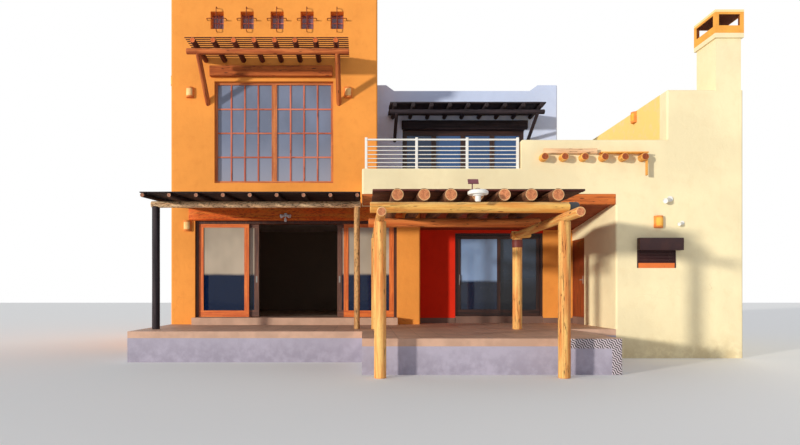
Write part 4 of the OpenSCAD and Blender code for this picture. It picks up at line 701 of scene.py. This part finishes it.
class Timber:
    """Logs and planks that become one mesh, with their grain, tone, ends and rims stored on it."""

    def __init__(self, seed):
        self.random = random.Random(seed)
        self.points = []
        self.grain = []
        self.tone = []
        self.rim = []
        self.faces = []
        self.ends = []

    def _ring(self, points, grain, tone, rim):
        """Adds a ring of points and gives back the number of its first."""
        first = len(self.points)
        self.points += points
        self.grain += grain
        self.tone += [tone] * len(points)
        self.rim += [rim] * len(points)
        return first

    def _join(self, first, second, count, end, flipped):
        """The faces between two rings. end is 1 where they belong to a cut end."""
        for i in range(count):
            j = (i + 1) % count
            face = (first + i, first + j, second + j, second + i)
            self.faces.append(face[::-1] if flipped else face)
            self.ends.append(end)

    def _sweep(self, start, axes, offset, outlines, cap_shares):
        """Joins outlines, each at its distance along the first axis, and closes both ends with
        smaller rings. offset is where the grain begins."""
        along, across, upward = axes
        stations = [([tuple(start + along * at + across * x + upward * y) for x, y in outline],
                     [(at + offset[0], x + offset[1], y + offset[2]) for x, y in outline])
                    for at, outline in outlines]
        count = len(outlines[0][1])
        tone = self.random.random()
        rings = [self._ring(points, grain, tone, 1.0) for points, grain in stations]
        for a, b in zip(rings, rings[1:]):
            self._join(a, b, count, 0.0, False)
        for last, at_start in ((0, True), (-1, False)):
            points, grain = stations[last]
            outer = rings[last]
            middle = sum((Vector(p) for p in points), Vector()) / count
            heart = sum((Vector(g) for g in grain), Vector()) / count
            for share in cap_shares:
                ring = self._ring([tuple(middle.lerp(Vector(p), share)) for p in points],
                                  [tuple(heart.lerp(Vector(g), share)) for g in grain], tone, share)
                self._join(outer, ring, count, 1.0, at_start)
                outer = ring
            face = tuple(range(outer, outer + count))
            self.faces.append(face[::-1] if at_start else face)
            self.ends.append(1.0)

    def log(self, start, end, radius, tip=None, sides=26, chamfer=0.012, rough=0.05, hewn=1.0):
        """A peeled log: it never swells past its radius, and its surface is a little uneven.
        hewn below 1 gives it four flat faces, at that share of the radius."""
        draw = self.random
        start, end = Vector(start), Vector(end)
        tip = radius if tip is None else tip
        length = (end - start).length
        along = (end - start).normalized()
        across = along.orthogonal().normalized()
        waves = [(draw.choice((1, 2, 3, 3, 5, 7)), draw.uniform(0.4, 5.0), draw.uniform(0, 6.3),
                  draw.uniform(0.3, 1.0)) for _ in range(7)]
        weight = sum(wave[3] for wave in waves)
        offset = draw.uniform(0, 40)
        # Nothing uses this draw's value, but the tone is drawn after it
        draw.uniform(0, 6.3)
        count = max(4, round(length / 0.11))
        inner = [chamfer + (length - 2 * chamfer) * i / count for i in range(count + 1)]
        outlines = []
        for at in [0.0, *inner, length]:
            shrink = 1 - chamfer / radius if at in (0.0, length) else 1.0
            share = at / length
            outline = []
            for i in range(sides):
                turn = 2 * math.pi * i / sides
                uneven = sum(size * math.sin(lobes * turn + pace * at + phase)
                             for lobes, pace, phase, size in waves) / weight
                r = (radius + (tip - radius) * share) * shrink * (1 - rough * (1 + uneven) / 2)
                r = min(r, hewn * radius * shrink / max(abs(math.cos(turn)), abs(math.sin(turn))))
                outline.append((r * math.cos(turn), r * math.sin(turn)))
            outlines.append((at, outline))
        self._sweep(start, (along, across, along.cross(across)), (offset, 0, 0), outlines,
                    (0.92, 0.72, 0.45, 0.18))

    def plank(self, start, end, width, thick, side=(0, 0, 1), chamfer=0.004, rough=0.0015):
        """A sawn plank between the middles of its ends. Its thickness points along side."""
        draw = self.random
        start, end = Vector(start), Vector(end)
        length = (end - start).length
        along = (end - start).normalized()
        upward = Vector(side)
        upward = (upward - along * upward.dot(along)).normalized()
        w, t, c = width / 2, thick / 2, min(chamfer, thick / 3, width / 3)
        corners = [(w, c - t), (w, t - c), (w - c, t), (c - w, t),
                   (-w, t - c), (-w, c - t), (c - w, -t), (w - c, -t)]
        offset = (draw.uniform(0, 40), draw.uniform(0.05, 0.2), draw.uniform(-0.1, 0.1))
        count = max(1, round(length / 0.3))
        outlines = []
        for at in [0.0, c, *[length * i / count for i in range(1, count)], length - c, length]:
            inset = c if at in (0.0, length) else draw.uniform(0, rough)
            outlines.append((at, [(math.copysign(abs(x) - inset, x),
                                   math.copysign(abs(y) - min(inset, abs(y) / 2), y))
                                  for x, y in corners]))
        self._sweep(start, (along, upward.cross(along), upward), offset, outlines, (0.5,))

    def block(self, low, high, along=0, **how):
        """A plank that fills a box, with its grain along one axis."""
        low, high = Vector(low), Vector(high)
        start, end = middle_line(low, high, along)
        size = high - low
        upright = 2 if along != 2 else 1
        other = 3 - along - upright
        side = [0, 0, 0]
        side[upright] = 1
        self.plank(start, end, size[other], size[upright], side, **how)

    def logs(self, boxes, along, **how):
        """A log in each box, along one axis and as thick as the box."""
        for low, high in boxes:
            start, end = middle_line(low, high, along)
            size = high - low
            radius = max(size[i] for i in range(3) if i != along) / 2
            self.log(start, end, radius, **how)

    def piece(self, name, finish, nodes=(), slot="log_wood"):
        mesh = bpy.data.meshes.new(name)
        mesh.from_pydata(self.points, [], self.faces)
        for attribute, kind, domain, key, values in (
                ("grain", "FLOAT_VECTOR", "POINT", "vector", self.grain),
                ("tone", "FLOAT", "POINT", "value", self.tone),
                ("rim", "FLOAT", "POINT", "value", self.rim),
                ("end", "FLOAT", "FACE", "value", self.ends)):
            stored = mesh.attributes.new(attribute, kind, domain)
            stored.data.foreach_set(key, np.array(values, np.float32).ravel())
        add_piece(mesh, finish, nodes)


def new_object(name, data):
    """An object in the scene that shows a mesh, or holds a light or a camera."""
    made = bpy.data.objects.new(name, data)
    bpy.context.scene.collection.objects.link(made)
    return made


def add_piece(mesh, finish, nodes=(), body=HOUSE):
    """Puts a finished mesh into the scene on its body, with its finish."""
    mesh.validate()
    made = bmesh.new()
    made.from_mesh(mesh)
    bmesh.ops.recalc_face_normals(made, faces=made.faces)
    made.to_mesh(mesh)
    made.free()
    mesh.shade_smooth()
    mesh.set_sharp_from_angle(angle=math.radians(38))
    piece = new_object(mesh.name, mesh)
    mesh.materials.append(MATERIALS[finish])
    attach(piece, body)
    if nodes:
        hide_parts(*nodes)


class Shapes:
    """Small solids that become one mesh, for fittings and ironwork."""

    def __init__(self):
        self.mesh = bmesh.new()

    def box(self, low, high, chamfer=0.004):
        low, high = Vector(low), Vector(high)
        made = bmesh.ops.create_cube(self.mesh, size=1.0)["verts"]
        for vertex in made:
            vertex.co = Vector((low[i] + high[i]) / 2 + vertex.co[i] * (high[i] - low[i])
                               for i in range(3))
        edges = {edge for vertex in made for edge in vertex.link_edges}
        bmesh.ops.bevel(self.mesh, geom=list(edges), offset=chamfer, segments=2, profile=0.7,
                        affect="EDGES")

    def _join(self, rows, sides, count):
        """The faces between each row of points and the next."""
        for a, b in zip(rows, rows[1:]):
            for i in range(sides):
                j = (i + 1) % count
                self.mesh.faces.new((a[i], a[j], b[j], b[i]))

    def tube(self, path, radius, sides=14):
        """A round bar along a path of points."""
        path = [Vector(p) for p in path]
        rings = []
        side = (path[1] - path[0]).orthogonal().normalized()
        for index, place in enumerate(path):
            before = path[max(index - 1, 0)]
            after = path[min(index + 1, len(path) - 1)]
            along = (after - before).normalized()
            side = (side - along * side.dot(along)).normalized()
            other = along.cross(side)
            ring = []
            for i in range(sides):
                turn = 2 * math.pi * i / sides
                ring.append(self.mesh.verts.new(place + side * radius * math.cos(turn)
                                                + other * radius * math.sin(turn)))
            rings.append(ring)
        self._join(rings, sides, sides)
        self.mesh.faces.new(rings[0][::-1])
        self.mesh.faces.new(rings[-1])

    def turned(self, centre, axis, profile, sides=28, sweep=360.0, begin=0.0, closed=False):
        """A profile of (radius, height) points turned about an axis through centre. A closed
        profile joins its last point to its first, and gets flat faces where the turn stops."""
        axis = Vector(axis).normalized()
        side = Vector((1, 0, 0)) if abs(axis.x) < 0.9 else Vector((0, 1, 0))
        side = (side - axis * side.dot(axis)).normalized()
        other = axis.cross(side)
        whole = sweep >= 360
        count = sides if whole else sides + 1
        rows = []
        for radius, height in profile:
            row = []
            for i in range(count):
                turn = math.radians(begin + sweep * i / sides)
                row.append(self.mesh.verts.new(
                    Vector(centre) + axis * height
                    + (side * math.cos(turn) + other * math.sin(turn)) * radius))
            rows.append(row)
        self._join(rows + rows[:1] if closed else rows, sides, count)
        if closed and not whole:
            self.mesh.faces.new([row[0] for row in rows][::-1])
            self.mesh.faces.new([row[-1] for row in rows])

    def disc(self, centre, axis, radius, thick):
        """A round plate from centre outward along axis, with a softened edge."""
        chamfer = 0.003
        self.turned(centre, axis, [(0.0, 0.0), (radius, 0.0), (radius, thick - chamfer),
                                   (radius - chamfer, thick), (0.0, thick)])

    def piece(self, name, finish, slot, nodes=(), body=HOUSE):
        mesh = bpy.data.meshes.new(name)
        bmesh.ops.remove_doubles(self.mesh, verts=self.mesh.verts, dist=1e-6)
        self.mesh.to_mesh(mesh)
        self.mesh.free()
        add_piece(mesh, finish, nodes, body)


def brace(wood, box):
    """A round brace that runs from inside the wall up and out to its beam."""
    low, high = box
    wall_depth = 0.08
    d = high.x - low.x
    x = (low.x + high.x) / 2
    inset = 0.7 * d
    foot = Vector((x, high.y, low.z + inset))
    head = Vector((x, low.y + inset, high.z))
    along = (head - foot).normalized()
    wood.log(foot - along * wall_depth, head, d / 2, chamfer=0.006)


def awning(node, finish, seed, slot="log_wood"):
    """An awning's beam and the two braces that carry it."""
    wood = Timber(seed)
    for box in solids(node):
        if box[1].x - box[0].x > 1:
            wood.logs([box], 0, rough=0.10)
        else:
            brace(wood, box)
    wood.piece(node.replace("_frame", "_beam_and_braces"), finish, [node], slot)


def row_of_logs(node, name, along, finish, seed, slot="log_wood", **how):
    """A log in the place of each solid of a node."""
    wood = Timber(seed)
    wood.logs(solids(node), along, **how)
    wood.piece(name, finish, [node], slot)


def beam(node, name, finish, seed, chamfer, rough):
    """A squared timber in the place of its node."""
    wood = Timber(seed)
    wood.block(*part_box(node), 0, chamfer=chamfer, rough=rough)
    wood.piece(name, finish, [node], "header_wood")


def boards_along_x(wood, low, high, pitch, gap, depth_at=None, **how):
    """Boards side by side across Y. For a slope, depth_at gives the height of a board's middle,
    the side that its thickness points along, and its thickness, all at a depth."""
    count = round((high.y - low.y) / pitch)
    step = (high.y - low.y) / count
    for i in range(count):
        y = low.y + (i + 0.5) * step
        z = (low.z + high.z) / 2
        side = (0, 0, 1)
        thick = high.z - low.z
        if depth_at:
            z, side, thick = depth_at(y)
        short = wood.random.uniform(0, 0.02)
        wood.plank((low.x + short, y, z), (high.x - wood.random.uniform(0, 0.02), y, z),
                   step - gap, thick, side, **how)


def tower_timber():
    awning("tower_awning_frame", "awning", 11)
    row_of_logs("tower_awning_rafters", "tower_awning_poles", 1, "awning_pole", 12, rough=0.09)
    wood = Timber(13)
    for low, high in solids("tower_awning_slats"):
        wood.block(low, high, 0, rough=0.003)
    wood.piece("tower_awning_boards", "slats", ["tower_awning_slats"])
    beam("door_header", "door_beam", "header", 14, 0.018, 0.006)
    beam("window_box", "window_box_board", "beam", 15, 0.012, 0.004)


def upper_timber():
    awning("upper_awning_frame", "slate", 21, "dark_wood")
    row_of_logs("upper_awning_rafters", "upper_awning_poles", 1, "slate", 22, "dark_wood",
                rough=0.08)
    wood = Timber(23)
    boards_along_x(wood, *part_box("upper_awning_boards"), 0.15, 0.006, rough=0.003)
    wood.piece("upper_awning_planks", "slate", ["upper_awning_boards"], "dark_wood")
    beam("upper_header", "upper_door_beam", "slate", 24, 0.015, 0.005)


def dark_pergola():
    # The left post gets the dark wood as painted shade, the right one the tan of its log
    for i, (box, finish) in enumerate(zip(solids("shade_posts"), ("slate", "tan_log"))):
        wood = Timber(35 + i)
        wood.logs([box], 2, rough=0.07)
        wood.piece(("dark_post", "tan_post")[i], finish, ["shade_posts"], "dark_wood")
    row_of_logs("shade_beam", "dark_pergola_beam", 0, "bleached", 32, rough=0.09)
    wood = Timber(33)
    for low, high in solids("shade_rafters"):
        r = (high.x - low.x) / 2
        x = (low.x + high.x) / 2
        wood.log((x, low.y + 0.003, low.z + r), (x, high.y, high.z - r), r, sides=20,
                 chamfer=0.007, rough=0.08)
    wood.piece("dark_rafters", "dark", ["shade_rafters"], "dark_wood")
    low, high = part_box("shade_roof")
    thick = 0.035
    rise = (high.z - low.z - thick) / (high.y - low.y)
    wood = Timber(34)

    def slope(y):
        z = low.z + thick / 2 + rise * (y - low.y)
        return z, (0, -rise, 1), thick * 0.9

    boards_along_x(wood, low, high, 0.16, 0.008, slope, rough=0.003)
    wood.piece("dark_roof_boards", "dark", ["shade_roof"], "dark_wood")


def log_end_sleeve(start, radius):
    """The black sleeve over the front log's right end."""
    sleeve = Shapes()
    sleeve.turned(start, (1, 0, 0), [
        (0.0, 0.0), (radius * 0.93, 0.0), (radius * 0.97, 0.03), (radius * 0.95, 0.08),
        (radius * 0.98, 0.13), (radius * 0.90, LOG_SLEEVE - 0.01),
        (radius * 0.82, LOG_SLEEVE), (0.0, LOG_SLEEVE)], 20)
    sleeve.piece("log_end_sleeve", "black", "wrought_iron", ["log_beams"])


def pergola_beams():
    """The side beams, the rear log, and the hewn front log with its sleeve."""
    side_beam_limit, middle_y = 1, -4
    sides = Timber(42)
    front = Timber(46)
    for low, high in solids("log_beams"):
        if high.x - low.x < side_beam_limit:
            sides.logs([(low, high)], 1, rough=0.07)
        elif low.y > middle_y:
            rear = Timber(48)
            rear.logs([(low, high)], 0, rough=0.08)
            rear.piece("pergola_rear_log", "rear_log", ["log_beams"])
        else:
            sleeve = high.x - LOG_SLEEVE
            y, z, radius = (low.y + high.y) / 2, (low.z + high.z) / 2, (high.z - low.z) / 2
            front.log((low.x, y, z), (sleeve + 0.02, y, z), radius, rough=0.08, hewn=0.90)
            log_end_sleeve((sleeve, y, z), radius)
    sides.piece("pergola_beams", "log", ["log_beams"])
    front.piece("pergola_front_log", "front_log", ["log_beams"])


def post_fittings():
    """The knotty corbel on the right rear post, and the band round that post, whose size and dark
    red-brown take in painted shade below the corbel as well as the band.
    """
    x, y = 3.727, -2.267
    corbel_y, left_z, right_z, band_z = y - 0.02, 2.945, 2.965, 2.650
    wood = Timber(47)
    wood.log((x - 0.15, corbel_y, left_z), (x + 0.31, corbel_y, right_z), 0.115, 0.095,
             rough=0.34, chamfer=0.02)
    wood.piece("knotty_corbel", "front_log")
    band = Shapes()
    band.turned((x, y, band_z), (0, 0, 1), [(0.109, 0.0), (0.121, 0.006), (0.121, 0.184),
                                            (0.109, 0.190)], 32)
    band.piece("post_band", "band", "wrought_iron")


def pergola_deck():
    """The deck's boards, and the darker one along its front edge."""
    low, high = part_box("log_deck")
    board, gap = 0.15, 0.006
    edge = low.y + board
    wood = Timber(44)
    boards_along_x(wood, Vector((low.x, edge, low.z)), high, board, gap, rough=0.002)
    wood.piece("pergola_deck_boards", "deck", ["log_deck"])
    wood = Timber(49)
    wood.block(low, (high.x, edge - gap, high.z), 0)
    wood.piece("pergola_edge_board", "slats", ["log_deck"])


def log_pergola():
    row_of_logs("log_posts", "pergola_posts", 2, "log", 41, sides=32, rough=0.05)
    pergola_beams()
    post_fittings()
    row_of_logs("log_vigas", "pergola_vigas", 1, "viga", 43, sides=32, rough=0.10)
    pergola_deck()
    beam("porch_beam", "porch_front_beam", "beam", 45, 0.014, 0.004)


def wing_vigas():
    """The row of log ends in the wing's wall, with the boards laid on and hung from them."""
    left, pitch, count, middle, radius = 4.331, 0.475, 6, 4.798, 0.095
    board_foot, hung_foot, in_wall = 4.889, 4.363, 0.05
    wood = Timber(51)
    for i in range(count):
        x = left + pitch * i
        wood.log((x, WING_FRONT_Y - 0.21, middle), (x, WING_FRONT_Y + in_wall, middle), radius,
                 rough=0.07)
    wood.block((5.666, -2.462, board_foot), (6.796, -2.282, board_foot + 0.03), 0)
    wood.block((6.7535, -2.447, hung_foot), (6.7835, -2.357, middle), 2)
    wood.piece("wall_log_ends", "wall_log", ["wall_vigas"])
    wood = Timber(52)
    wood.block((left, -2.372, board_foot), (5.611, -2.342, board_foot + 0.125), 0, chamfer=0.006,
               rough=0.004)
    wood.piece("standing_board", "pale_plank", ["wall_vigas"])


def muntin_grid(wood, low, high, columns, rows, width, depth):
    """Glazing bars that part a pane into columns and rows, along X or along Y."""
    wide = 0 if high.x - low.x > high.y - low.y else 1
    thin = 1 - wide
    middle = (low[thin] + high[thin]) / 2

    def bar(axis, at, half_depth, along):
        start, end = low.copy(), high.copy()
        start[axis], end[axis] = at - width / 2, at + width / 2
        start[thin], end[thin] = middle - half_depth, middle + half_depth
        wood.block(start, end, along, rough=0.0008)

    for i in range(1, columns):
        bar(wide, low[wide] + (high[wide] - low[wide]) * i / columns, depth / 2, 2)
    for i in range(1, rows):
        bar(2, low.z + (high.z - low.z) * i / rows, depth / 2 - 0.002, wide)


def glazing_bars():
    low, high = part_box("large_window")
    middle = (low.x + high.x) / 2
    edge, half_mullion = 0.07, 0.075
    for side, (x0, x1) in enumerate(((low.x + edge, middle - half_mullion),
                                     (middle + half_mullion, high.x - edge))):
        wood = Timber(61 + side)
        muntin_grid(wood, Vector((x0, low.y, low.z + edge)), Vector((x1, high.y, high.z - edge)),
                    4, 4, 0.042, 0.05)
        wood.piece(f"large_window_bars_{('left', 'right')[side]}", "bars", slot="frame_wood")
    wood = Timber(70)
    inset = Vector((0.03, 0, 0.03))
    for low, high in solids("small_windows"):
        muntin_grid(wood, low + inset, high - inset, 2, 2, 0.026, 0.034)
    wood.piece("small_window_bars", "bars", slot="frame_wood")
    wood = Timber(71)
    for low, high in solids("rear_windows"):
        inset = Vector((0.05, 0.02, 0.05)) if high.x - low.x > 0.5 else Vector((0.02, 0.05, 0.05))
        muntin_grid(wood, low + inset, high - inset, 2, 2, 0.045, 0.04)
    wood.piece("rear_window_bars", "bars", slot="frame_wood")


def railing():
    """The balcony's white tube railing, each post on its foot plate."""
    rail = Shapes()
    y, left, right = -2.167, 0.10, 3.758
    foot_z, lowest_bar, highest_bar, hand_z, post_top = 4.56, 4.62, 5.105, 5.27, 5.32
    posts, bars, post, plate = 4, 6, 0.03, 0.05
    for i in range(posts):
        x = left + (right - left) * i / (posts - 1)
        rail.box((x - post, y - post, foot_z), (x + post, y + post, post_top))
        reach = plate if i else post
        rail.box((x - reach, y - plate, foot_z), (x + plate, y + plate, foot_z + 0.008), 0.002)
    rail.tube([(left, y, hand_z), (right, y, hand_z)], 0.0225, 18)
    for i in range(bars):
        z = lowest_bar + (highest_bar - lowest_bar) * i / (bars - 1)
        rail.tube([(left, y, z), (right, y, z)], 0.011, 12)
    rail.piece("balcony_railing", "white", "white_paint", ["railing_and_lamps"])


def wall_lamps():
    """Clay half cups on the walls, each with a paler panel in its front."""
    radius, height, wall, panel = 0.112, 0.29, 0.014, 0.004
    outer = radius - panel
    cup = [(0.0, 0.0), (outer - 0.012, 0.0), (outer, 0.012), (outer, height - 0.004),
           (outer - 0.004, height), (outer - wall, height), (outer - wall, 0.03), (0.0, 0.03)]
    front = [(outer - 0.002, 0.045), (radius, 0.049), (radius, height - 0.049),
             (outer - 0.002, height - 0.045)]
    cups, panels, warm_panels = Shapes(), Shapes(), Shapes()
    for x, y, z, begin in ((-4.776, 0, 6.98, 180), (-0.386, 0, 6.98, 180),
                           (-4.845, 0, 3.285, 180), (7.11, WING_FRONT_Y, 3.125, 180),
                           (-5.306, 0.35, 7.42, 90), (7.32, -0.58, 6.12, 90)):
        cups.turned((x, y, z), (0, 0, 1), cup, 24, 180.0, begin, True)
        made = warm_panels if x > 0 else panels
        made.turned((x, y, z), (0, 0, 1), front, 12, 96.0, begin + 42, True)
    cups.piece("clay_wall_lamps", "clay", "clay_brick", ["railing_and_lamps"])
    panels.piece("tower_lamp_panels", "panel", "clay_brick", ["railing_and_lamps"])
    warm_panels.piece("wing_lamp_panels", "warm_panel", "clay_brick", ["railing_and_lamps"])


def flood_lamp():
    """The twin lamp with its sensor on the header over the tower's doors."""
    made = Shapes()
    x, front, z = -2.107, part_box("door_header")[0].y, 3.715
    made.disc((x, front + 0.01, z), (0, -1, 0), 0.055, 0.04)
    stem = 0.014
    head = [(0.0, 0.0), (0.026, 0.0), (0.034, 0.03), (0.052, 0.075), (0.054, 0.105),
            (0.048, 0.108), (0.044, 0.09), (0.0, 0.085)]
    sensor = [(0.0, 0.0), (0.024, 0.008), (0.038, 0.035), (0.036, 0.085), (0.020, 0.11),
              (0.0, 0.112)]
    for side in (-1, 1):
        aim = Vector((side * 0.86, -0.42, -0.30)).normalized()
        start = Vector((x, front - 0.03, z))
        made.tube([start, start + aim * 0.05], stem)
        made.turned(start + aim * 0.045, aim, head, 24)
    made.tube([(x, front - 0.02, z - 0.03), (x, front - 0.045, z - 0.09)], stem)
    made.turned((x, front - 0.05, z - 0.195), (0, 0, 1), sensor)
    made.piece("flood_lamp", "grey_plastic", "white_paint")


def deck_light():
    """The white saucer lamp on a log's end and its small panel on the deck's edge."""
    x, y, foot = 2.077, -5.922, 3.200
    saucer = [(0.0, 0.0), (0.044, 0.004), (0.053, 0.022), (0.053, 0.095), (0.090, 0.108),
              (0.096, 0.125), (0.176, 0.130), (0.184, 0.145), (0.184, 0.178), (0.150, 0.205),
              (0.06, 0.216), (0.0, 0.218)]
    made = Shapes()
    made.turned((x, y, foot), (0, 0, 1), saucer, 40)
    made.box((x - 0.03, y + 0.16, 3.325), (x + 0.03, y + 0.235, 3.385), 0.006)
    made.piece("saucer_lamp", "white", "white_paint")
    panel = Shapes()
    panel.box((x - 0.005, -5.345, 3.515), (x + 0.015, -5.325, 3.64), 0.003)
    middle, lean = Vector((x + 0.02, -5.345, 3.668)), math.radians(58)
    half_width, half_height, half_thick = 0.1, 0.055, 0.007
    corner = []
    for sx, sy, sz in ((-1, -1, -1), (1, -1, -1), (1, 1, -1), (-1, 1, -1),
                       (-1, -1, 1), (1, -1, 1), (1, 1, 1), (-1, 1, 1)):
        along, off = sy * half_height, sz * half_thick
        corner.append(panel.mesh.verts.new(middle + Vector((
            sx * half_width, along * math.cos(lean) - off * math.sin(lean),
            along * math.sin(lean) + off * math.cos(lean)))))
    for a, b, c, d in ((0, 3, 2, 1), (4, 5, 6, 7), (0, 1, 5, 4), (1, 2, 6, 5), (2, 3, 7, 6),
                       (3, 0, 4, 7)):
        panel.mesh.faces.new((corner[a], corner[b], corner[c], corner[d]))
    panel.piece("lamp_solar_panel", "solar", "shutter_metal")


def wall_spots():
    """Two small white spot lamps on the wing's wall."""
    made = Shapes()
    aim = Vector((-0.80, -0.50, -0.30)).normalized()
    head = [(0.0, 0.0), (0.022, 0.0), (0.027, 0.012), (0.036, 0.085), (0.032, 0.088),
            (0.028, 0.07), (0.0, 0.066)]
    for x, z, size in ((7.38, 3.82, 1.8), (7.68, 3.25, 1.25)):
        made.disc((x, WING_FRONT_Y + 0.005, z), (0, -1, 0), 0.038 * size, 0.022 * size)
        start = Vector((x, WING_FRONT_Y - 0.015 * size, z))
        made.tube([start, start + aim * 0.04 * size], 0.011 * size)
        made.turned(start + aim * 0.03 * size, aim, [(r * size, h * size) for r, h in head], 24)
    made.piece("wall_spots", "white", "white_paint")


def tiles_and_skirting():
    """The wavy tiles along the porch wall's right end, and the stone at the recess wall's foot."""
    made = Shapes()
    joint, top, right, front = 0.003, 0.690, 4.966, -5.2
    for i in range(6):
        x = right - TILE * (i + 1)
        made.box((x + joint, front - 0.008, top - TILE), (x + TILE, front + 0.004, top), 0.0015)
    for i in range(1, 4):
        z = max(0.004, top - TILE * (i + 1))
        made.box((right - TILE + joint, front - 0.008, z), (right, front + 0.004, top - TILE * i - joint),
                 0.0015)
    made.piece("porch_tiles", "zebra", "porch_stone")
    stone = Shapes()
    face, back, foot, head = 0.715, 0.735, 0.695, 0.845
    for left, right in ((1.622, 2.698), (5.252, 6.094)):
        stone.box((left, face, foot), (right, back, head))
    stone.piece("recess_skirting", "skirting", "porch_stone")


def sliding_door_handles():
    """A flush pull and a bow handle on each sliding leaf."""
    middle, half_pull, half_bow, bow_turn = 1.95, 0.09, 0.14, 0.125
    for body, x, out, back in (("left_leaf", -2.956, 0.170, 0.220),
                               ("right_leaf", -0.628, 0.170, 0.220),
                               ("recess_leaf", 2.831, 0.840, 0.790)):
        made = Shapes()
        away = 1 if back > out else -1
        made.box((x - 0.022, out - 0.002 * away, middle - half_pull),
                 (x + 0.022, out + 0.004 * away, middle + half_pull), 0.0008)
        made.tube([(x, back + off * away, middle + up) for off, up in (
            (-0.005, -half_bow), (0.030, -half_bow), (0.038, -bow_turn), (0.038, bow_turn),
            (0.030, half_bow), (-0.005, half_bow))], 0.009, 12)
        made.piece(f"{body}_handle", "steel", "wrought_iron", (), body)


def side_door_lever():
    """A plate and a lever on both faces of the side door."""
    lever = Shapes()
    y, z = -0.068, 1.93
    for face, away in ((6.116, -1), (6.166, 1)):
        plate = face + 0.006 * away
        lever.box((min(face, plate), y - 0.021, z - 0.11), (max(face, plate), y + 0.021, z + 0.11),
                  0.002)
        lever.tube([(face, y, z), (face + 0.042 * away, y, z), (face + 0.050 * away, y + 0.010, z),
                    (face + 0.050 * away, y + 0.12, z)], 0.0085, 12)
    lever.piece("side_door_lever", "steel", "wrought_iron", (), "side_door")


def shutter():
    """The roller shutter: its box, guides, slats and bottom bar."""
    low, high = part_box("roller_shutter")
    left, right, front, back = 6.60, 7.53, WING_FRONT_Y + 0.005, -2.242
    box_foot, guide, slat, bar_top = 2.585, 0.03, 0.036, 0.12
    made = Shapes()
    made.box((low.x, low.y, box_foot), (high.x, WING_FRONT_Y, high.z), 0.012)
    count = int((box_foot - low.z - bar_top) / slat)
    for i in range(count + 1):
        z = low.z + bar_top + slat * (i + 0.5)
        made.tube([(left + guide, front + 0.010, z), (right - guide, front + 0.010, z)],
                  slat / 2 * 0.98, 10)
    for x in (left, right - guide):
        made.box((x, front - 0.016, low.z), (x + guide, back, box_foot))
    made.piece("shutter_box_and_slats", "shutter", "shutter_metal", ["roller_shutter"])
    bar = Shapes()
    bar.box((left + guide, front - 0.014, low.z), (right - guide, back, low.z + bar_top), 0.005)
    bar.piece("shutter_bottom_bar", "shutter_bar", "shutter_metal")


def pale_floor():
    """A plain floor, far wider than the house."""
    mesh = bpy.data.meshes.new("pale_floor")
    half = FLOOR_SIZE / 2
    mesh.from_pydata([(-half, -half, 0), (half, -half, 0), (half, half, 0), (-half, half, 0)],
                     [], [(0, 1, 2, 3)])
    s = Shader("pale_floor", roughness=0.95, specular=0.1)
    mesh.materials.append(s.done((244, 242, 238)))
    new_object("pale_floor", mesh)


def lights():
    """A low sun from the left and a weak fill from behind."""
    for name, energy, colour, spread, height, turn in (
            ("soft_sun", SUN_LIGHT, (1.0, 0.96, 0.86), SUN_SPREAD, SUN_HEIGHT, SUN_TURN),
            ("back_fill", FILL_LIGHT, (1.0, 0.98, 0.96), FILL_SPREAD, FILL_HEIGHT, FILL_TURN)):
        sun = bpy.data.lights.new(name, "SUN")
        sun.energy = energy
        sun.color = colour
        sun.angle = math.radians(spread)
        lamp = new_object(name, sun)
        lamp.rotation_euler = (math.radians(90 - height), 0, math.radians(-turn))


def surround():
    """Even bluish light from all sides, but plain white where the surround itself is seen."""
    world = bpy.data.worlds.new("studio")
    bpy.context.scene.world = world
    world.use_nodes = True
    nodes = Nodes(world.node_tree)
    light = nodes.tree.nodes["Background"]
    nodes.put(light, "Color", (0.86, 0.91, 1.0, 1.0))
    nodes.put(light, "Strength", WORLD_LIGHT)
    white = nodes.add("Background", 0, {"Color": (1.0, 1.0, 1.0, 1.0), "Strength": 1.0})
    rays = nodes.tree.nodes.new("ShaderNodeLightPath").outputs
    seen = nodes.math("MAXIMUM", rays["Is Camera Ray"], rays["Is Glossy Ray"])
    seen = nodes.math("MAXIMUM", seen, rays["Is Transmission Ray"])
    both = nodes.add("MixShader", 0, {0: seen, 1: light.outputs[0], 2: white})
    nodes.put(nodes.tree.nodes["World Output"], "Surface", both)
    bpy.context.scene.view_settings.view_transform = "Standard"


def camera():
    """The photograph's level camera, with its horizon moved by the lens shift."""
    data = bpy.data.cameras.new("camera")
    data.sensor_width = SENSOR
    data.lens = FOCAL_PX / PHOTO_W * SENSOR
    data.shift_x = (PHOTO_W / 2 - VANISHING_X) / PHOTO_W
    data.shift_y = (VANISHING_Y - PHOTO_H / 2) / PHOTO_W
    data.clip_end = 400
    eye = new_object("camera", data)
    eye.location = EYE
    eye.rotation_euler = (math.radians(90), 0, 0)
    bpy.context.scene.camera = eye


camera()
pale_floor()
lights()
surround()
dress_nodes()
tower_timber()
upper_timber()
dark_pergola()
log_pergola()
wing_vigas()
glazing_bars()
railing()
wall_lamps()
flood_lamp()
deck_light()
wall_spots()
tiles_and_skirting()
sliding_door_handles()
side_door_lever()
shutter()
